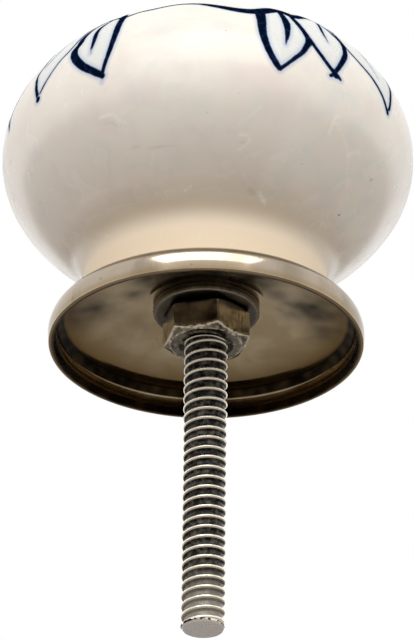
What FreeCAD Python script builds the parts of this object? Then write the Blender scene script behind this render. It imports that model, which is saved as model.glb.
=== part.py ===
import FreeCAD, Part
import math
import os

import Sketcher

# Round glazed cabinet knob on a pressed metal cup, held by a through bolt, washer and nut.
# The frame has +Z up along the knob's axis. Its origin is the centre of the cup's rim, in the
# plane that bears on the drawer front, so the ball stands above it and the stud hangs below.
# All sizes are in millimetres and degrees.

DOC = FreeCAD.newDocument("cabinet_knob")

# The driving sizes, one row of the sheet each: alias, value, meaning
SIZES = (
    ("knob_radius", 19.2, "widest radius of the ceramic ball"),
    ("equator_height", 19.3, "height of that widest ring above the drawer front"),
    ("crown_rise", 13.25, "rise of the elliptical crown above the widest ring"),
    ("side_radius", 8.7, "radius of the ball's side below the widest ring"),
    ("side_drop", 4.5, "drop of that side before the flatter underside starts"),
    ("belly_radius", 14.2, "radius of the flatter underside of the ball"),
    ("neck_radius", 11.2, "radius of the short neck that stands on the cup"),
    ("neck_fillet", 3.3, "hollow radius between the neck and the underside"),
    ("foot_width", 3.0, "width of the bare ring on which the ceramic stands"),
    ("recess_depth", 1.6, "hollow above the cup inside that ring"),
    ("bore_clearance", 0.5, "radial play of the bolt in the ceramic"),
    ("cup_radius", 14.45, "outer radius of the cup's rim"),
    ("cup_depth", 4.05, "depth from the rim to the washer's seat"),
    ("sheet", 0.5, "thickness of the cup's sheet"),
    ("wall_taper", 8.4, "lean of the cup's wall"),
    ("floor_slope", 12.6, "fall of the cup's floor from the seat to the shoulder"),
    ("seat_radius", 5.6, "radius of the flat seat pressed for the washer, outside"),
    ("shoulder_radius", 1.35, "outer bend between the cup's wall and floor"),
    ("seat_bend", 1.0, "outer bend round the flat seat"),
    ("rim_rounding", 0.12, "softened edges of the rim"),
    ("cup_clearance", 0.2, "radial play of the thread in the cup"),
    ("washer_radius", 4.9, "outer radius of the washer"),
    ("washer_thickness", 0.8, "thickness of the washer"),
    ("washer_clearance", 0.15, "radial play of the thread in the washer"),
    ("washer_rounding", 0.2, "stamped round edge of the washer"),
    ("nut_flats", 7.2, "width of the nut across its flats"),
    ("nut_height", 3.2, "height of the nut"),
    ("nut_bevel", 30.0, "angle of the bevel on the nut's corners"),
    ("nut_turn", 14.7, "turn of the nut's corner from the front"),
    ("nut_bearing", 0.3, "flat lost to the bevel inside the nut's flats"),
    ("nut_countersink", 0.35, "depth and width of the countersink in the nut"),
    ("thread_radius", 2.0, "crest radius of the stud's thread"),
    ("thread_depth", 0.25, "crest to pitch line, where nut and thread share their wall"),
    ("stud_reach", 28.5, "reach of the stud past the rim"),
    ("stud_chamfer", 0.2, "bevel on the end of the stud"),
    ("head_radius", 4.4, "radius of the low round head at the crown"),
    ("head_edge", 0.5, "height of the head's upright edge"),
    ("head_dome", 1.5, "rise of the head's dome above that edge"),
    ("head_clearance", 0.3, "play of the head in its flat on the crown"),
)


def make_sheet():
    """Write the driving sizes to the sheet."""
    sheet = DOC.addObject("Spreadsheet::Sheet", "Sizes")
    for row, (alias, value, meaning) in enumerate(SIZES, start=1):
        sheet.set("A%d" % row, meaning)
        sheet.set("B%d" % row, str(value))
        sheet.setAlias("B%d" % row, alias)
    DOC.recompute()
    return sheet


SHEET = make_sheet()

# What several pieces share, as expressions on the sheet
S = "Sizes."
CUP_TOP = "(%scup_depth + %ssheet)" % (S, S)
WASHER_FACE = "(%scup_depth - %swasher_thickness)" % (S, S)
NUT_FACE = "(%s - %snut_height)" % (WASHER_FACE, S)
SHANK = "(%sthread_radius - %sthread_depth)" % (S, S)
SLOPE = "tan(%sfloor_slope * 1 deg)" % S
FLAT_RADIUS = "(%shead_radius + %shead_clearance)" % (S, S)
FOOT_INSIDE = "(%sneck_radius - %sfoot_width)" % (S, S)
FOOT_RISE = "(%s - (%sneck_radius - %sseat_radius) * %s)" % (CUP_TOP, S, S, SLOPE)
FOOT_INSIDE_RISE = "(%s - (%s - %sseat_radius) * %s)" % (CUP_TOP, FOOT_INSIDE, S, SLOPE)
RECESS_TOP = "(%s + %srecess_depth)" % (CUP_TOP, S)
HEAD_SEAT = "(%sequator_height + %scrown_rise * sqrt(1 - (%s / %sknob_radius)^2))" % (S, S, FLAT_RADIUS, S)


def value(expression):
    """The number that an expression on the sheet gives now."""
    return float(SHEET.evalExpression(expression))


def new_body(name):
    """An empty body with the name of its sub-part."""
    body = DOC.addObject("PartDesign::Body", name)
    body.Label = name
    return body


def new_sketch(body, name):
    """A sketch on the body's own upright plane: x is the radius and y is the height."""
    sketch = body.newObject("Sketcher::SketchObject", name)
    plane = next(f for f in body.Origin.OriginFeatures if f.Role == "XZ_Plane")
    sketch.AttachmentSupport = [(plane, "")]
    sketch.MapMode = "FlatFace"
    return sketch


def bind(sketch, constraint, expression):
    """Add a constraint and drive it by an expression."""
    index = sketch.addConstraint(constraint)
    sketch.setExpression("Constraints[%d]" % index, expression)


def place(sketch, curve, end, radius=None, height=None):
    """Fix a curve's end by its radius, its height or both. 0 puts it on the axis of the sketch."""
    for kind, axis, expression in (("DistanceX", -2, radius), ("DistanceY", -1, height)):
        if expression == 0:
            sketch.addConstraint(Sketcher.Constraint("PointOnObject", curve, end, axis))
        elif expression is not None:
            bind(sketch, Sketcher.Constraint(kind, -1, 1, curve, end, value(expression)), expression)


def line(sketch, start, end):
    """A straight edge between two points given as numbers."""
    return sketch.addGeometry(Part.LineSegment(FreeCAD.Vector(*start, 0), FreeCAD.Vector(*end, 0)))


def arc(sketch, centre, radius, first, last):
    """A round edge, anticlockwise from the first angle to the last, in radians."""
    circle = Part.Circle(FreeCAD.Vector(*centre, 0), FreeCAD.Vector(0, 0, 1), radius)
    return sketch.addGeometry(Part.ArcOfCircle(circle, first, last))


def join(sketch, first, first_end, second, second_end):
    """Make two ends one point."""
    sketch.addConstraint(Sketcher.Constraint("Coincident", first, first_end, second, second_end))


def corner_number(corner):
    """A corner's two expressions as numbers."""
    return tuple(0.0 if part == 0 else value(part) for part in corner)


def chain(sketch, corners, closed=True):
    """Straight edges from corner to corner, each corner driven by its two expressions."""
    points = [corner_number(corner) for corner in corners]
    ends = points[1:] + points[:1] if closed else points[1:]
    edges = [line(sketch, start, end) for start, end in zip(points, ends)]
    for index, edge in enumerate(edges):
        place(sketch, edge, 1, *corners[index])
        if index:
            join(sketch, edges[index - 1], 2, edge, 1)
    if closed:
        join(sketch, edges[-1], 2, edges[0], 1)
    else:
        place(sketch, edges[-1], 2, *corners[-1])
    return edges


def revolve(body, sketch, name, kind="PartDesign::Revolution"):
    """Turn a sketch once round the axis of the knob."""
    feature = body.newObject(kind, name)
    feature.Profile = sketch
    feature.ReferenceAxis = (sketch, ["V_Axis"])
    feature.Angle = 360
    sketch.Visibility = False
    DOC.recompute()
    return feature


def ring_edges(feature, rings):
    """Names of the round edges of a feature at the given (radius, height) pairs."""
    names = []
    for index, edge in enumerate(feature.Shape.Edges, start=1):
        curve = edge.Curve
        if not isinstance(curve, Part.Circle):
            continue
        for radius, height in rings:
            if abs(curve.Radius - radius) < 1e-4 and abs(curve.Center.z - height) < 1e-4:
                names.append("Edge%d" % index)
    return names


def round_off(body, base, rings, size, name, kind="PartDesign::Fillet"):
    """Round or bevel the ring-shaped edges of a feature by a size from the sheet."""
    feature = body.newObject(kind, name)
    feature.Base = (base, ring_edges(base, rings))
    feature.setExpression("Size" if kind.endswith("Chamfer") else "Radius", size)
    DOC.recompute()
    return feature


def ceramic_ball():
    """The fired ball: elliptical crown, round underside, short neck, bare foot ring and bolt hole."""
    body = new_body("ceramic_ball")
    sketch = new_sketch(body, "ball_section")
    bore = "(%sthread_radius + %sbore_clearance)" % (S, S)
    wide, middle = value(S + "knob_radius"), value(S + "equator_height")
    side, belly, hollow = value(S + "side_radius"), value(S + "belly_radius"), value(S + "neck_fillet")
    neck = value(S + "neck_radius")

    # The crown is an arc of an ellipse from the widest ring up to the flat for the bolt's head
    start = math.acos(value(FLAT_RADIUS) / wide)
    ellipse = Part.Ellipse(
        FreeCAD.Vector(wide, middle, 0),
        FreeCAD.Vector(0, middle + value(S + "crown_rise"), 0),
        FreeCAD.Vector(0, middle, 0),
    )
    crown = sketch.addGeometry(Part.ArcOfEllipse(ellipse, 0, start))
    sketch.exposeInternalGeometry(crown)
    long_axis, short_axis = crown + 1, crown + 2
    place(sketch, crown, 3, 0, S + "equator_height")
    place(sketch, long_axis, 1, S + "knob_radius", S + "equator_height")
    place(sketch, short_axis, 1, None, "%sequator_height + %scrown_rise" % (S, S))
    join(sketch, crown, 1, long_axis, 1)
    place(sketch, crown, 2, FLAT_RADIUS)

    # Below the widest ring the side bends in, flattens to the underside and hollows into the neck
    bend = math.asin(value(S + "side_drop") / side)
    side_centre = (wide - side, middle)
    under_centre = (
        side_centre[0] - (belly - side) * math.cos(bend),
        middle + (belly - side) * math.sin(bend),
    )
    across = neck + hollow - under_centre[0]
    drop = math.sqrt((belly + hollow) ** 2 - across**2)
    turn = math.atan2(drop, across)
    throat_centre = (neck + hollow, under_centre[1] - drop)
    side_arc = arc(sketch, side_centre, side, -bend, 0)
    under = arc(sketch, under_centre, belly, -turn, -bend)
    throat = arc(sketch, throat_centre, hollow, math.pi - turn, math.pi)
    bind(sketch, Sketcher.Constraint("Radius", side_arc, side), S + "side_radius")
    bind(sketch, Sketcher.Constraint("Radius", under, belly), S + "belly_radius")
    bind(sketch, Sketcher.Constraint("Radius", throat, hollow), S + "neck_fillet")
    join(sketch, side_arc, 2, crown, 1)
    place(sketch, side_arc, 3, None, S + "equator_height")
    place(sketch, side_arc, 1, None, "%sequator_height - %sside_drop" % (S, S))
    sketch.addConstraint(Sketcher.Constraint("Tangent", under, 2, side_arc, 1))
    sketch.addConstraint(Sketcher.Constraint("Tangent", throat, 1, under, 1))

    # The neck stands on the cup's slope with a bare ring round a shallow hollow
    neck_side = line(sketch, (neck, throat_centre[1]), (neck, value(FOOT_RISE)))
    sketch.addConstraint(Sketcher.Constraint("Tangent", throat, 2, neck_side, 1))
    inside = chain(
        sketch,
        (
            (S + "neck_radius", FOOT_RISE),
            (FOOT_INSIDE, FOOT_INSIDE_RISE),
            (FOOT_INSIDE, RECESS_TOP),
            (bore, RECESS_TOP),
        ),
        closed=False,
    )
    join(sketch, neck_side, 2, inside[0], 1)
    seat_height = value(HEAD_SEAT)
    hole_side = line(sketch, (value(bore), value(RECESS_TOP)), (value(bore), seat_height))
    flat = line(sketch, (value(bore), seat_height), (value(FLAT_RADIUS), seat_height))
    join(sketch, inside[-1], 2, hole_side, 1)
    join(sketch, hole_side, 2, flat, 1)
    join(sketch, flat, 2, crown, 2)
    sketch.addConstraint(Sketcher.Constraint("Vertical", hole_side))
    sketch.addConstraint(Sketcher.Constraint("Horizontal", flat))
    body.Tip = revolve(body, sketch, "ball")
    return body


def base_cup():
    """The pressed cup: one sheet drawn to a leaning wall, a bent shoulder and a sloping floor."""
    body = new_body("base_cup")
    sketch = new_sketch(body, "cup_outside")
    rim, top, seat = value(S + "cup_radius"), value(CUP_TOP), value(S + "seat_radius")
    lean = math.tan(math.radians(value(S + "wall_taper")))
    fall = math.tan(math.radians(value(S + "floor_slope")))
    shoulder_rise = (top - (rim - seat) * fall) / (1 - lean * fall)
    shoulder = rim - shoulder_rise * lean

    wall = line(sketch, (rim, 0), (shoulder, shoulder_rise))
    floor = line(sketch, (shoulder, shoulder_rise), (seat, top))
    seat_top = line(sketch, (seat, top), (0, top))
    axis = line(sketch, (0, top), (0, 0))
    mouth = line(sketch, (0, 0), (rim, 0))
    for first, second in ((wall, floor), (floor, seat_top), (seat_top, axis), (axis, mouth), (mouth, wall)):
        join(sketch, first, 2, second, 1)
    place(sketch, mouth, 1, 0, 0)
    place(sketch, mouth, 2, S + "cup_radius", 0)
    place(sketch, seat_top, 1, S + "seat_radius", CUP_TOP)
    place(sketch, seat_top, 2, 0, CUP_TOP)
    for edge, angle in ((wall, "90 + %swall_taper" % S), (floor, "180 - %sfloor_slope" % S)):
        constraint = Sketcher.Constraint("Angle", edge, math.radians(value(angle)))
        bind(sketch, constraint, "(%s) * 1 deg" % angle)
    blank = revolve(body, sketch, "cup_blank")

    bent = round_off(body, blank, [(shoulder, shoulder_rise)], S + "shoulder_radius", "shoulder_bend")
    bent = round_off(body, bent, [(seat, top)], S + "seat_bend", "seat_bend")

    shell = body.newObject("PartDesign::Thickness", "sheet_wall")
    mouth_faces = [
        "Face%d" % index
        for index, face in enumerate(bent.Shape.Faces, start=1)
        if abs(face.CenterOfMass.z) < 1e-6
    ]
    shell.Base = (bent, mouth_faces)
    shell.setExpression("Value", S + "sheet")
    shell.Reversed = True
    shell.Join = 0
    DOC.recompute()

    hole = body.newObject("PartDesign::SubtractiveCylinder", "bolt_hole")
    hole.setExpression("Radius", "%sthread_radius + %scup_clearance" % (S, S))
    hole.setExpression("Height", CUP_TOP)
    DOC.recompute()

    rim_edges = [
        (edge.Curve.Radius, 0.0)
        for edge in hole.Shape.Edges
        if isinstance(edge.Curve, Part.Circle) and abs(edge.Curve.Center.z) < 1e-6
    ]
    body.Tip = round_off(body, hole, rim_edges, S + "rim_rounding", "rim_edges")
    return body


def flat_washer():
    """The plain washer under the cup's seat, with the round edge that stamping leaves on one side."""
    body = new_body("flat_washer")
    sketch = new_sketch(body, "washer_section")
    hole = "(%sthread_radius + %swasher_clearance)" % (S, S)
    corners = (
        (hole, WASHER_FACE),
        (S + "washer_radius", WASHER_FACE),
        (S + "washer_radius", S + "cup_depth"),
        (hole, S + "cup_depth"),
    )
    chain(sketch, corners)
    disc = revolve(body, sketch, "disc")
    edge = [corner_number((S + "washer_radius", WASHER_FACE))]
    body.Tip = round_off(body, disc, edge, S + "washer_rounding", "stamped_edge")
    return body


def hex_nut():
    """The hexagon nut: bevelled corners at both ends, a bore on the pitch line and countersinks."""
    body = new_body("hex_nut")
    prism = body.newObject("PartDesign::AdditivePrism", "hexagon")
    prism.Polygon = 6
    prism.setExpression("Circumradius", "%snut_flats / sqrt(3)" % S)
    prism.setExpression("Height", S + "nut_height")
    plane = next(f for f in body.Origin.OriginFeatures if f.Role == "XY_Plane")
    prism.AttachmentSupport = [(plane, "")]
    prism.MapMode = "FlatFace"
    prism.setExpression("AttachmentOffset.Base.z", NUT_FACE)
    prism.AttachmentOffset = FreeCAD.Placement(
        FreeCAD.Vector(0, 0, value(NUT_FACE)), FreeCAD.Rotation(FreeCAD.Vector(0, 0, 1), 0)
    )
    prism.setExpression("AttachmentOffset.Rotation.Angle", "(%snut_turn - 30) * 1 deg" % S)
    DOC.recompute()

    # Each end loses its corners to a cone that starts just inside the flats and ends well outside
    sketch = new_sketch(body, "bevel_section")
    ring = "(%snut_flats / 2 - %snut_bearing)" % (S, S)
    outside = S + "nut_flats"
    rise = "(%s - %s) * tan(%snut_bevel * 1 deg)" % (outside, ring, S)
    for face, sign in ((NUT_FACE, "+"), (WASHER_FACE, "-")):
        chain(
            sketch,
            (
                (ring, face),
                (outside, face),
                (outside, "(%s %s %s)" % (face, sign, rise)),
            ),
        )
    revolve(body, sketch, "corner_bevels", "PartDesign::Groove")

    hole = body.newObject("PartDesign::SubtractiveCylinder", "bore")
    hole.setExpression("Radius", SHANK)
    hole.setExpression("Height", WASHER_FACE)
    DOC.recompute()
    ends = [corner_number((SHANK, face)) for face in (NUT_FACE, WASHER_FACE)]
    body.Tip = round_off(body, hole, ends, S + "nut_countersink", "countersinks", "PartDesign::Chamfer")
    return body


def through_bolt():
    """The bolt: a low round head on the crown, a shank on the pitch line and the stud below the nut."""
    body = new_body("through_bolt")
    sketch = new_sketch(body, "bolt_section")
    end = "(-%sstud_reach)" % S
    edge_top = "(%s + %shead_edge)" % (HEAD_SEAT, S)
    dome_top = "(%s + %shead_dome)" % (edge_top, S)
    edges = chain(
        sketch,
        (
            (0, dome_top),
            (0, end),
            ("(%sthread_radius - %sstud_chamfer)" % (S, S), end),
            (S + "thread_radius", "(%s + %sstud_chamfer)" % (end, S)),
            (S + "thread_radius", NUT_FACE),
            (SHANK, NUT_FACE),
            (SHANK, HEAD_SEAT),
            (S + "head_radius", HEAD_SEAT),
            (S + "head_radius", edge_top),
        ),
        closed=False,
    )
    chord, rise = value(S + "head_radius"), value(S + "head_dome")
    ball = (chord**2 + rise**2) / (2 * rise)
    centre = (0, value(dome_top) - ball)
    dome = arc(sketch, centre, ball, math.acos(chord / ball), math.pi / 2)
    place(sketch, dome, 3, 0)
    join(sketch, edges[-1], 2, dome, 1)
    join(sketch, dome, 2, edges[0], 1)
    body.Tip = revolve(body, sketch, "bolt")
    return body


PARTS = (ceramic_ball(), base_cup(), flat_washer(), hex_nut(), through_bolt())
DOC.recompute()

for item in DOC.Objects:
    if "Invalid" in item.State or "Error" in item.State:
        raise SystemExit("%s failed: %s" % (item.Label, item.State))
for part in PARTS:
    if part.Shape.isNull() or not part.Shape.isValid():
        raise SystemExit("%s has no valid shape" % part.Label)

os.makedirs("parts", exist_ok=True)
for part in PARTS:
    part.Shape.exportStep("parts/%s.step" % part.Label)
    print("%s: %d solid, %.1f mm3" % (part.Label, len(part.Shape.Solids), part.Shape.Volume))
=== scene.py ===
import logging
import math
from dataclasses import dataclass, field
from enum import Enum
from functools import partial

import bpy
import numpy as np
from mathutils import Matrix, Vector


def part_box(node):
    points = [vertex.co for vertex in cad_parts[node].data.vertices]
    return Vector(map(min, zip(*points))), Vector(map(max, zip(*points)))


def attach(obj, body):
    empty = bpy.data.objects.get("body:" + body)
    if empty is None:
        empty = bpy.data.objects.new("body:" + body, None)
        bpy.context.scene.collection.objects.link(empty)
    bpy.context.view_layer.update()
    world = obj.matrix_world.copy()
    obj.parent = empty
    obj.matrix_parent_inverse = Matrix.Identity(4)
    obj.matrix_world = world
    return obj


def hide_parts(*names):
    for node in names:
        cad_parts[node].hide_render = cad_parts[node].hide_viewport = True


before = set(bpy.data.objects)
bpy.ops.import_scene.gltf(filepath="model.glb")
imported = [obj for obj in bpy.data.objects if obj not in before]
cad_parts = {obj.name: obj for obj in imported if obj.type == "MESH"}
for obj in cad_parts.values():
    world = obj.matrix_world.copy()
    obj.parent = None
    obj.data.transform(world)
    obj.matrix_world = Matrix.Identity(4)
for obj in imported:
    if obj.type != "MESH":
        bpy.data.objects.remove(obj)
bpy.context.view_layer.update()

# A round cabinet knob of glazed ceramic with a painted ring of petals. It stands on a drawn
# metal cup and is held by a through bolt, a washer and a hexagon nut. Sections are given in
# millimetres as (radius, height) in the knob's own frame, and meshes are written in metres.

LOG = logging.getLogger("cabinet_knob")
MM = 0.001

# Settings that many nodes share: an eased range, and a mix of colours with its colour output
EASED = {"interpolation_type": "SMOOTHSTEP"}
COLOURS = {"data_type": "RGBA", "out": 2}

Point = tuple[float, float]


class Hue(Enum):
    """The colours seen on the knob and on the stage, as sRGB hex values."""

    GLAZE = "#F3ECE1"
    GLAZE_WARM = "#EFE6DB"
    GLAZE_PINK = "#EBDED6"
    GLAZE_CUP_GLOW = "#EDD9BC"
    GLAZE_THROAT_SHADE = "#B4A184"
    GLAZE_GREEN = "#E4E4D9"
    GLAZE_BLUE = "#DFE0DC"
    WRINKLE_PALE = "#FBF4E9"
    WRINKLE_SHADE = "#C3B3A2"
    BISCUIT = "#D9C6A8"
    PETAL = "#CDD5D6"
    INK = "#050E22"
    INK_THIN = "#1B3460"
    BLEED = "#A9B9D2"
    SPECK = "#6E5540"
    NICKEL = "#B4A694"
    NICKEL_SMOKE = "#9C8F7C"
    NICKEL_CLEAN = "#8B8071"
    TARNISH = "#C8B492"
    TARNISH_PALE = "#E2D0AE"
    DARK_REFLECTION_TINT = "#8B7247"
    STEEL = "#E4D9C0"
    STEEL_WASHER = "#746B5E"
    STEEL_DARK = "#4A4130"
    BURR_HIGHLIGHT = "#FFF4E0"
    THREAD = "#F6EEDC"
    CUT_END = "#FBF7F4"
    SHADE_BLACK = "#0C090A"
    FLOOR = "#B1ACA7"


class Skin(Enum):
    """Which face of a drawn sheet a stretch of its section belongs to."""

    OUTSIDE = 0.0
    INSIDE = 1.0


def linear(hue: Hue) -> tuple[float, float, float, float]:
    """Turn an sRGB hex colour to linear light.

    Args:
        hue: The colour's named hex value.

    Returns:
        The linear red, green, blue and an alpha of 1.
    """
    channels = [int(hue.value[i : i + 2], 16) / 255 for i in (1, 3, 5)]
    low = [c / 12.92 for c in channels]
    high = [((c + 0.055) / 1.055) ** 2.4 for c in channels]
    red, green, blue = (a if c <= 0.04045 else b for c, a, b in zip(channels, low, high))
    return red, green, blue, 1.0


def per_mm(size: float) -> float:
    """The texture scale at which one feature is this many millimetres across."""
    return 1.0 / (size * MM)


def add_node(
    tree: bpy.types.NodeTree, kind: str, inputs: dict | list | None = None, out: int | str = 0, **settings
) -> bpy.types.NodeSocket | None:
    """Add a node with its settings, its values and its links.

    Args:
        tree: The node tree that takes the node.
        kind: The node's type name.
        inputs: A value or another node's output for each input, by name or number, or in order.
        out: The output to return, by name or number.
        settings: The node's own properties.

    Returns:
        The chosen output, whose node attribute leads to the others, or None where there is no output.
    """
    node = tree.nodes.new(kind)
    for name, setting in settings.items():
        setattr(node, name, setting)
    given = inputs if isinstance(inputs, dict) else dict(enumerate(inputs or []))
    for key, value in given.items():
        if isinstance(value, bpy.types.NodeSocket):
            tree.links.new(value, node.inputs[key])
        else:
            node.inputs[key].default_value = value
    return node.outputs[out] if node.outputs else None


def new_material(name: str) -> tuple[bpy.types.Material, bpy.types.NodeTree]:
    """Make an empty node material.

    Args:
        name: The finish's plain name.

    Returns:
        The material and its node tree.
    """
    material = bpy.data.materials.new(name)
    material.use_nodes = True
    material.node_tree.nodes.clear()
    return material, material.node_tree


@dataclass(frozen=True)
class Reach:
    """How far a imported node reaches, in millimetres."""

    radius: float
    low: float
    high: float

    @classmethod
    def of(cls, node: str) -> "Reach":
        """Read a node's box from the frame."""
        low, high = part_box(node)
        return cls(high[0] / MM, low[2] / MM, high[2] / MM)


def arc_points(centre: Point, radius: float, first: float, last: float, step: float) -> list[Point]:
    """Points along a round edge.

    Args:
        centre: The arc's centre as radius and height.
        radius: The arc's radius.
        first: The angle at its start, in radians.
        last: The angle at its end.
        step: The longest chord between two points.

    Returns:
        The points, both ends included.
    """
    count = max(2, math.ceil(abs(last - first) * radius / step) + 1)
    angles = np.linspace(first, last, count)
    return [(centre[0] + radius * math.cos(a), centre[1] + radius * math.sin(a)) for a in angles]


def soften(corners: list[tuple[float, float, float]], step: float = 0.05) -> list[Point]:
    """Round the corners of a closed section.

    Args:
        corners: Each corner's radius, height and rounding.
        step: The longest chord on a rounding.

    Returns:
        The section's points, with an arc at each rounded corner.
    """
    points: list[Point] = []
    count = len(corners)
    for index, (x, y, rounding) in enumerate(corners):
        here = np.array((x, y))
        before = np.array(corners[index - 1][:2]) - here
        after = np.array(corners[(index + 1) % count][:2]) - here
        if rounding <= 0:
            points.append((x, y))
            continue
        before /= np.linalg.norm(before)
        after /= np.linalg.norm(after)
        half = math.acos(max(-1.0, min(1.0, float(before @ after)))) / 2
        middle = (before + after) / np.linalg.norm(before + after)
        centre = here + middle * rounding / math.sin(half)
        ends = [here + side * rounding / math.tan(half) - centre for side in (before, after)]
        first, last = (math.atan2(end[1], end[0]) for end in ends)
        turn = (last - first + math.pi) % (2 * math.pi) - math.pi
        points += arc_points(tuple(centre), rounding, first, first + turn, step)
    return points


def even_rows(points: list[Point], spacing: float, closed: bool = True) -> np.ndarray:
    """Divide the long edges of a section.

    Args:
        points: The section's points.
        spacing: The longest edge to leave.
        closed: Whether the last point joins the first.

    Returns:
        The points with the added ones between them, as an array.
    """
    rows: list[Point] = []
    ends = points[1:] + points[:1] if closed else points[1:]
    for start, end in zip(points, ends):
        pieces = max(1, math.ceil(math.dist(start, end) / spacing - 1e-6))
        for part in range(pieces):
            share = part / pieces
            rows.append((start[0] + (end[0] - start[0]) * share, start[1] + (end[1] - start[1]) * share))
    if not closed:
        rows.append(points[-1])
    return np.array(rows)


def turned(rows: np.ndarray, columns: int, first: float = 0.0) -> np.ndarray:
    """Turn a section round the axis.

    Args:
        rows: The section's points in millimetres.
        columns: The number of copies round the axis.
        first: The first copy's angle in radians.

    Returns:
        An array of points: one row for each section point, one column for each copy.
    """
    angles = first + np.arange(columns) * 2 * math.pi / columns
    radius, height = rows[:, :1], rows[:, 1:]
    return np.stack((radius * np.cos(angles), radius * np.sin(angles), height + 0 * angles), axis=-1)


def skin_mesh(name: str, grid: np.ndarray, poles: bool = False) -> bpy.types.Mesh:
    """Make a closed mesh from a turned grid.

    Args:
        name: The mesh's name.
        grid: The points, rows by columns, in millimetres.
        poles: Whether the first and last rows are single points on the axis, instead of a ring
            section whose last row joins the first.

    Returns:
        The mesh, smooth, with its faces pointing outwards.
    """
    columns = grid.shape[1]
    inner = grid[1:-1] if poles else grid
    vertices = inner.reshape(-1, 3)
    index = np.arange(inner.shape[0] * columns).reshape(inner.shape[0], columns)
    lower = index[:-1] if poles else index
    upper = index[1:] if poles else np.roll(index, -1, axis=0)
    quads = np.stack((lower, np.roll(lower, -1, 1), np.roll(upper, -1, 1), upper), axis=-1).reshape(-1, 4)
    faces = quads.tolist()
    if poles:
        bottom, top = len(vertices), len(vertices) + 1
        vertices = np.vstack((vertices, grid[0, 0], grid[-1, 0]))
        low_ring, high_ring = index[0], index[-1]
        faces += [(bottom, int(b), int(a)) for a, b in zip(low_ring, np.roll(low_ring, -1))]
        faces += [(top, int(a), int(b)) for a, b in zip(high_ring, np.roll(high_ring, -1))]
    mesh = bpy.data.meshes.new(name)
    mesh.from_pydata((vertices * MM).tolist(), [], faces)
    mesh.update()
    mesh.shade_smooth()
    return mesh


def store(mesh: bpy.types.Mesh, name: str, values: np.ndarray) -> None:
    """Keep one number for each vertex of a mesh under a name."""
    layer = mesh.attributes.new(name, "FLOAT", "POINT")
    layer.data.foreach_set("value", np.ascontiguousarray(values, dtype=np.float32).ravel())


def place_piece(mesh: bpy.types.Mesh, material: bpy.types.Material, node: str) -> bpy.types.Object:
    """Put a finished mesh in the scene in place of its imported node.

    Args:
        mesh: The piece's mesh, in the knob's frame.
        material: The piece's finish.
        node: The node that it stands for.

    Returns:
        The new object.
    """
    mesh.materials.clear()
    mesh.materials.append(material)
    piece = bpy.data.objects.new(mesh.name, mesh)
    bpy.context.scene.collection.objects.link(piece)
    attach(piece, "root")
    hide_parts(node)
    return piece


def waves(points: np.ndarray, length: float, count: int, seed: int) -> np.ndarray:
    """A smooth uneven field made of crossing waves.

    Args:
        points: Places in millimetres.
        length: The usual length of a wave.
        count: How many waves cross.
        seed: The seed of their directions.

    Returns:
        A value between about -1 and 1 for each place.
    """
    draw = np.random.default_rng(seed)
    field_sum = np.zeros(points.shape[:-1])
    for _ in range(count):
        direction = draw.normal(size=3)
        direction *= 2 * math.pi / (length * draw.uniform(0.7, 1.5) * np.linalg.norm(direction))
        field_sum += np.sin(points @ direction + draw.uniform(0, 2 * math.pi))
    return field_sum / math.sqrt(2 * count)


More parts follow.
